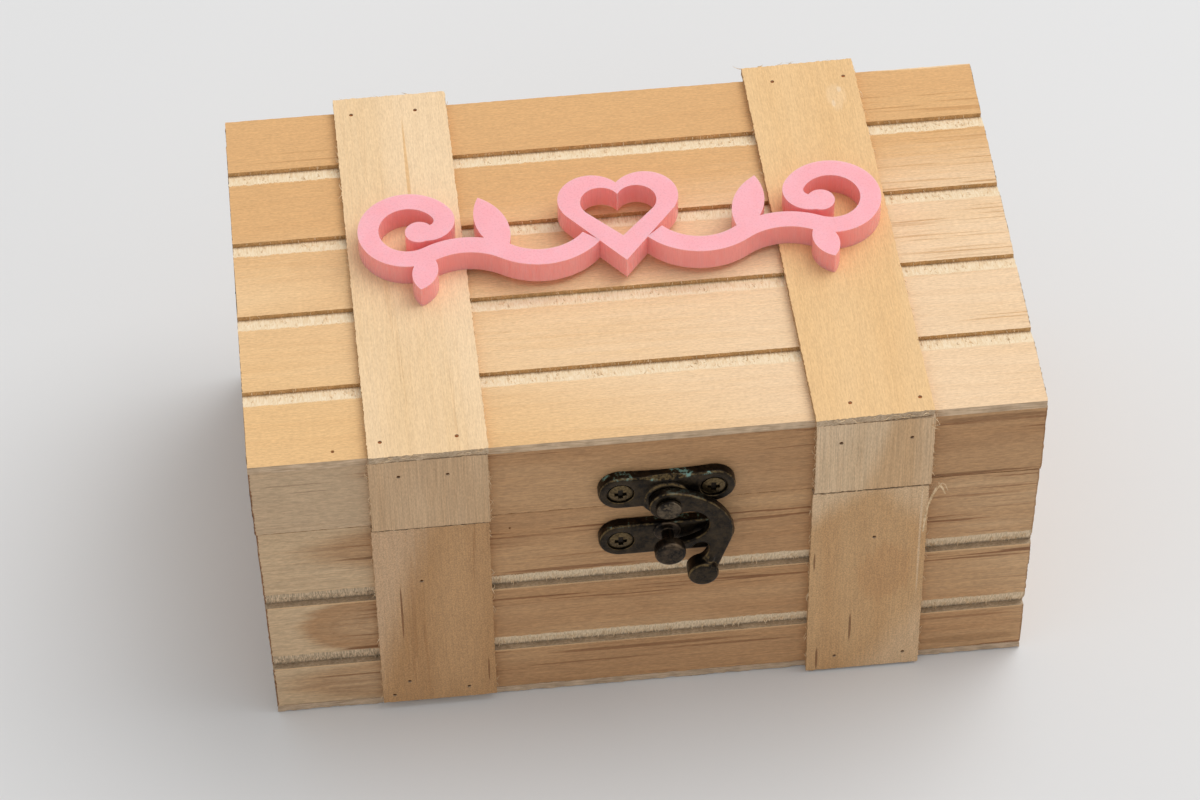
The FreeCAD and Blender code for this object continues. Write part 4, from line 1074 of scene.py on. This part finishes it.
def rustFinish(name, dark, light, upper=None):
    # upper: dark and light tones of the heads that look up, painted lighter as if lit from above
    finish, shader, coords = newFinish(name)
    grit = stretched(inMillimetres(coords), (4.0, 4.0, 4.0), 3.0, 0.6)
    tone = blend(fade(grit, 0.35, 0.65), dark, light)
    if upper:
        # painted light: heads that look up are made lighter
        paintedLitTop = blend(fade(grit, 0.35, 0.65), *upper)
        tone = blend(fade(split(coords.outputs["Normal"])[2], 0.4, 0.7), tone, paintedLitTop)
    feed(shader, {"Base Color": tone, "Roughness": fade(grit, 0.2, 0.8, 0.5, 0.8),
                  "Specular IOR Level": 0.15})
    return finish


def dress(finish, *names):
    for name in names:
        nodes[name].data.materials.clear()
        nodes[name].data.materials.append(finish)


rust = rustFinish("rusty_steel", (0.19, 0.07, 0.027), (0.36, 0.14, 0.048))
# the brads' rust, with the heads that look up painted lighter as lit from above
bradRustAndLitTops = rustFinish("rusty_brads_and_lit_tops", (0.050, 0.020, 0.007), (0.16, 0.066, 0.022),
                      ((0.20, 0.060, 0.016), (0.58, 0.20, 0.055)))
dress(plateBronze, "left_hinge_box_leaf", "right_hinge_box_leaf", "left_hinge_lid_leaf",
      "right_hinge_lid_leaf")
dress(brassFinish("hook_screw_brass", -51.6, -1.0), "hook_plate_screws")
dress(brassFinish("catch_screw_brass", -51.3, -1.0), "catch_screws")
dress(brassFinish("hinge_screw_brass", 51.3, 1.0), "hinge_box_screws", "hinge_lid_screws")
dress(bradRustAndLitTops, "lid_strap_brads", "box_strap_brads")
dress(rust, "lid_nails", "wall_nails", "base_nails", "left_hinge_pin", "right_hinge_pin")
print("metal dressed")


# acrylic ornament

# side tones: the cut sides painted a deeper pink for their shade and the pink light bouncing onto them
pinkLook = dict(top=(0.98, 0.45, 0.495), topDeep=(0.97, 0.425, 0.465), side=(0.98, 0.385, 0.385),
                sideDeep=(0.95, 0.34, 0.335), glow=0.35, glowReach=(0.004, 0.0015, 0.0012))


def acrylicFinish(name, look):
    finish, shader, coords = newFinish(name)
    spot = inMillimetres(coords)
    cloud = stretched(spot, (0.12, 0.12, 0.12))
    cut = stretched(spot, (2.5, 2.5, 0.15))
    top = blend(fade(cloud, 0.35, 0.65), look["top"], look["topDeep"])
    edge = blend(fade(cut, 0.3, 0.7), look["side"], look["sideDeep"])
    # the sides get a painted deeper pink, for their shade and bounced pink light
    up = fade(split(coords.outputs["Normal"])[2], 0.5, 0.9)
    feed(shader, {"Base Color": blend(up, edge, top), "Subsurface Weight": look["glow"],
                  "Subsurface Radius": look["glowReach"], "Subsurface Scale": 1.0,
                  "Roughness": fade(cut, 0.2, 0.8, 0.24, 0.34)})
    return finish


dress(acrylicFinish("pink_acrylic", pinkLook), "lid_ornament")
print("ornament dressed")


# floor, light and camera

stageLook = dict(floor=(0.755, 0.75, 0.745), floorDeep=(0.735, 0.73, 0.725), floorSize=8, floorGap=0.1 * mm,
                 world=0.65, sky=(0.97, 0.985, 1.0), keyPower=56.0, keySize=2.7,
                 keyPlace=Vector((1.50, 0.80, 2.50)), keyAim=Vector((0, 0, 0.04)))

floor = startFrom(bpy.ops.mesh.primitive_plane_add, size=stageLook["floorSize"],
                  location=(0, 0, -stageLook["floorGap"]))
floor.name = "paleFloor"
floorFinish, shader, coords = newFinish("pale_floor")
cloud = stretched(coords.outputs["Object"], (3.0, 3.0, 3.0))
floorTone = blend(fade(cloud, 0.3, 0.7), stageLook["floor"], stageLook["floorDeep"])
feed(shader, {"Base Color": floorTone, "Roughness": 0.75, "Specular IOR Level": 0.2})
floor.data.materials.append(floorFinish)

lamp = bpy.data.lights.new("keyLight", "AREA")
lamp.shape = "SQUARE"
lamp.size = stageLook["keySize"]
lamp.energy = stageLook["keyPower"]
keyLight = show("keyLight", lamp)
keyLight.location = stageLook["keyPlace"]
keyLight.rotation_euler = (stageLook["keyAim"] - stageLook["keyPlace"]).to_track_quat("-Z", "Y").to_euler()
world = bpy.data.worlds.new("paleRoom")
bpy.context.scene.world = world
world.use_nodes = True
feed(world.node_tree.nodes["Background"], {"Color": stageLook["sky"], "Strength": stageLook["world"]})

cameraLook = dict(azimuth=-5.21, elevation=47.91, roll=-0.92, lens=129.24, sensor=36.0,
                  aim=Vector((-0.0053, 0.0002, 0.035)), distance=0.918, nearest=0.01)
camera = show("photoCamera", bpy.data.cameras.new("photoCamera"))
camera.data.lens = cameraLook["lens"]
camera.data.sensor_width = cameraLook["sensor"]
camera.data.sensor_fit = "HORIZONTAL"
camera.data.clip_start = cameraLook["nearest"]
view = Matrix.Translation(cameraLook["aim"])
for axis, degrees in (("Z", cameraLook["azimuth"]), ("X", 90 - cameraLook["elevation"]),
                      ("Z", cameraLook["roll"])):
    view = view @ Matrix.Rotation(math.radians(degrees), 4, axis)
camera.matrix_world = view @ Matrix.Translation((0, 0, cameraLook["distance"]))
bpy.context.scene.camera = camera
bpy.context.scene.view_settings.view_transform = "Standard"
print("stage and camera set")
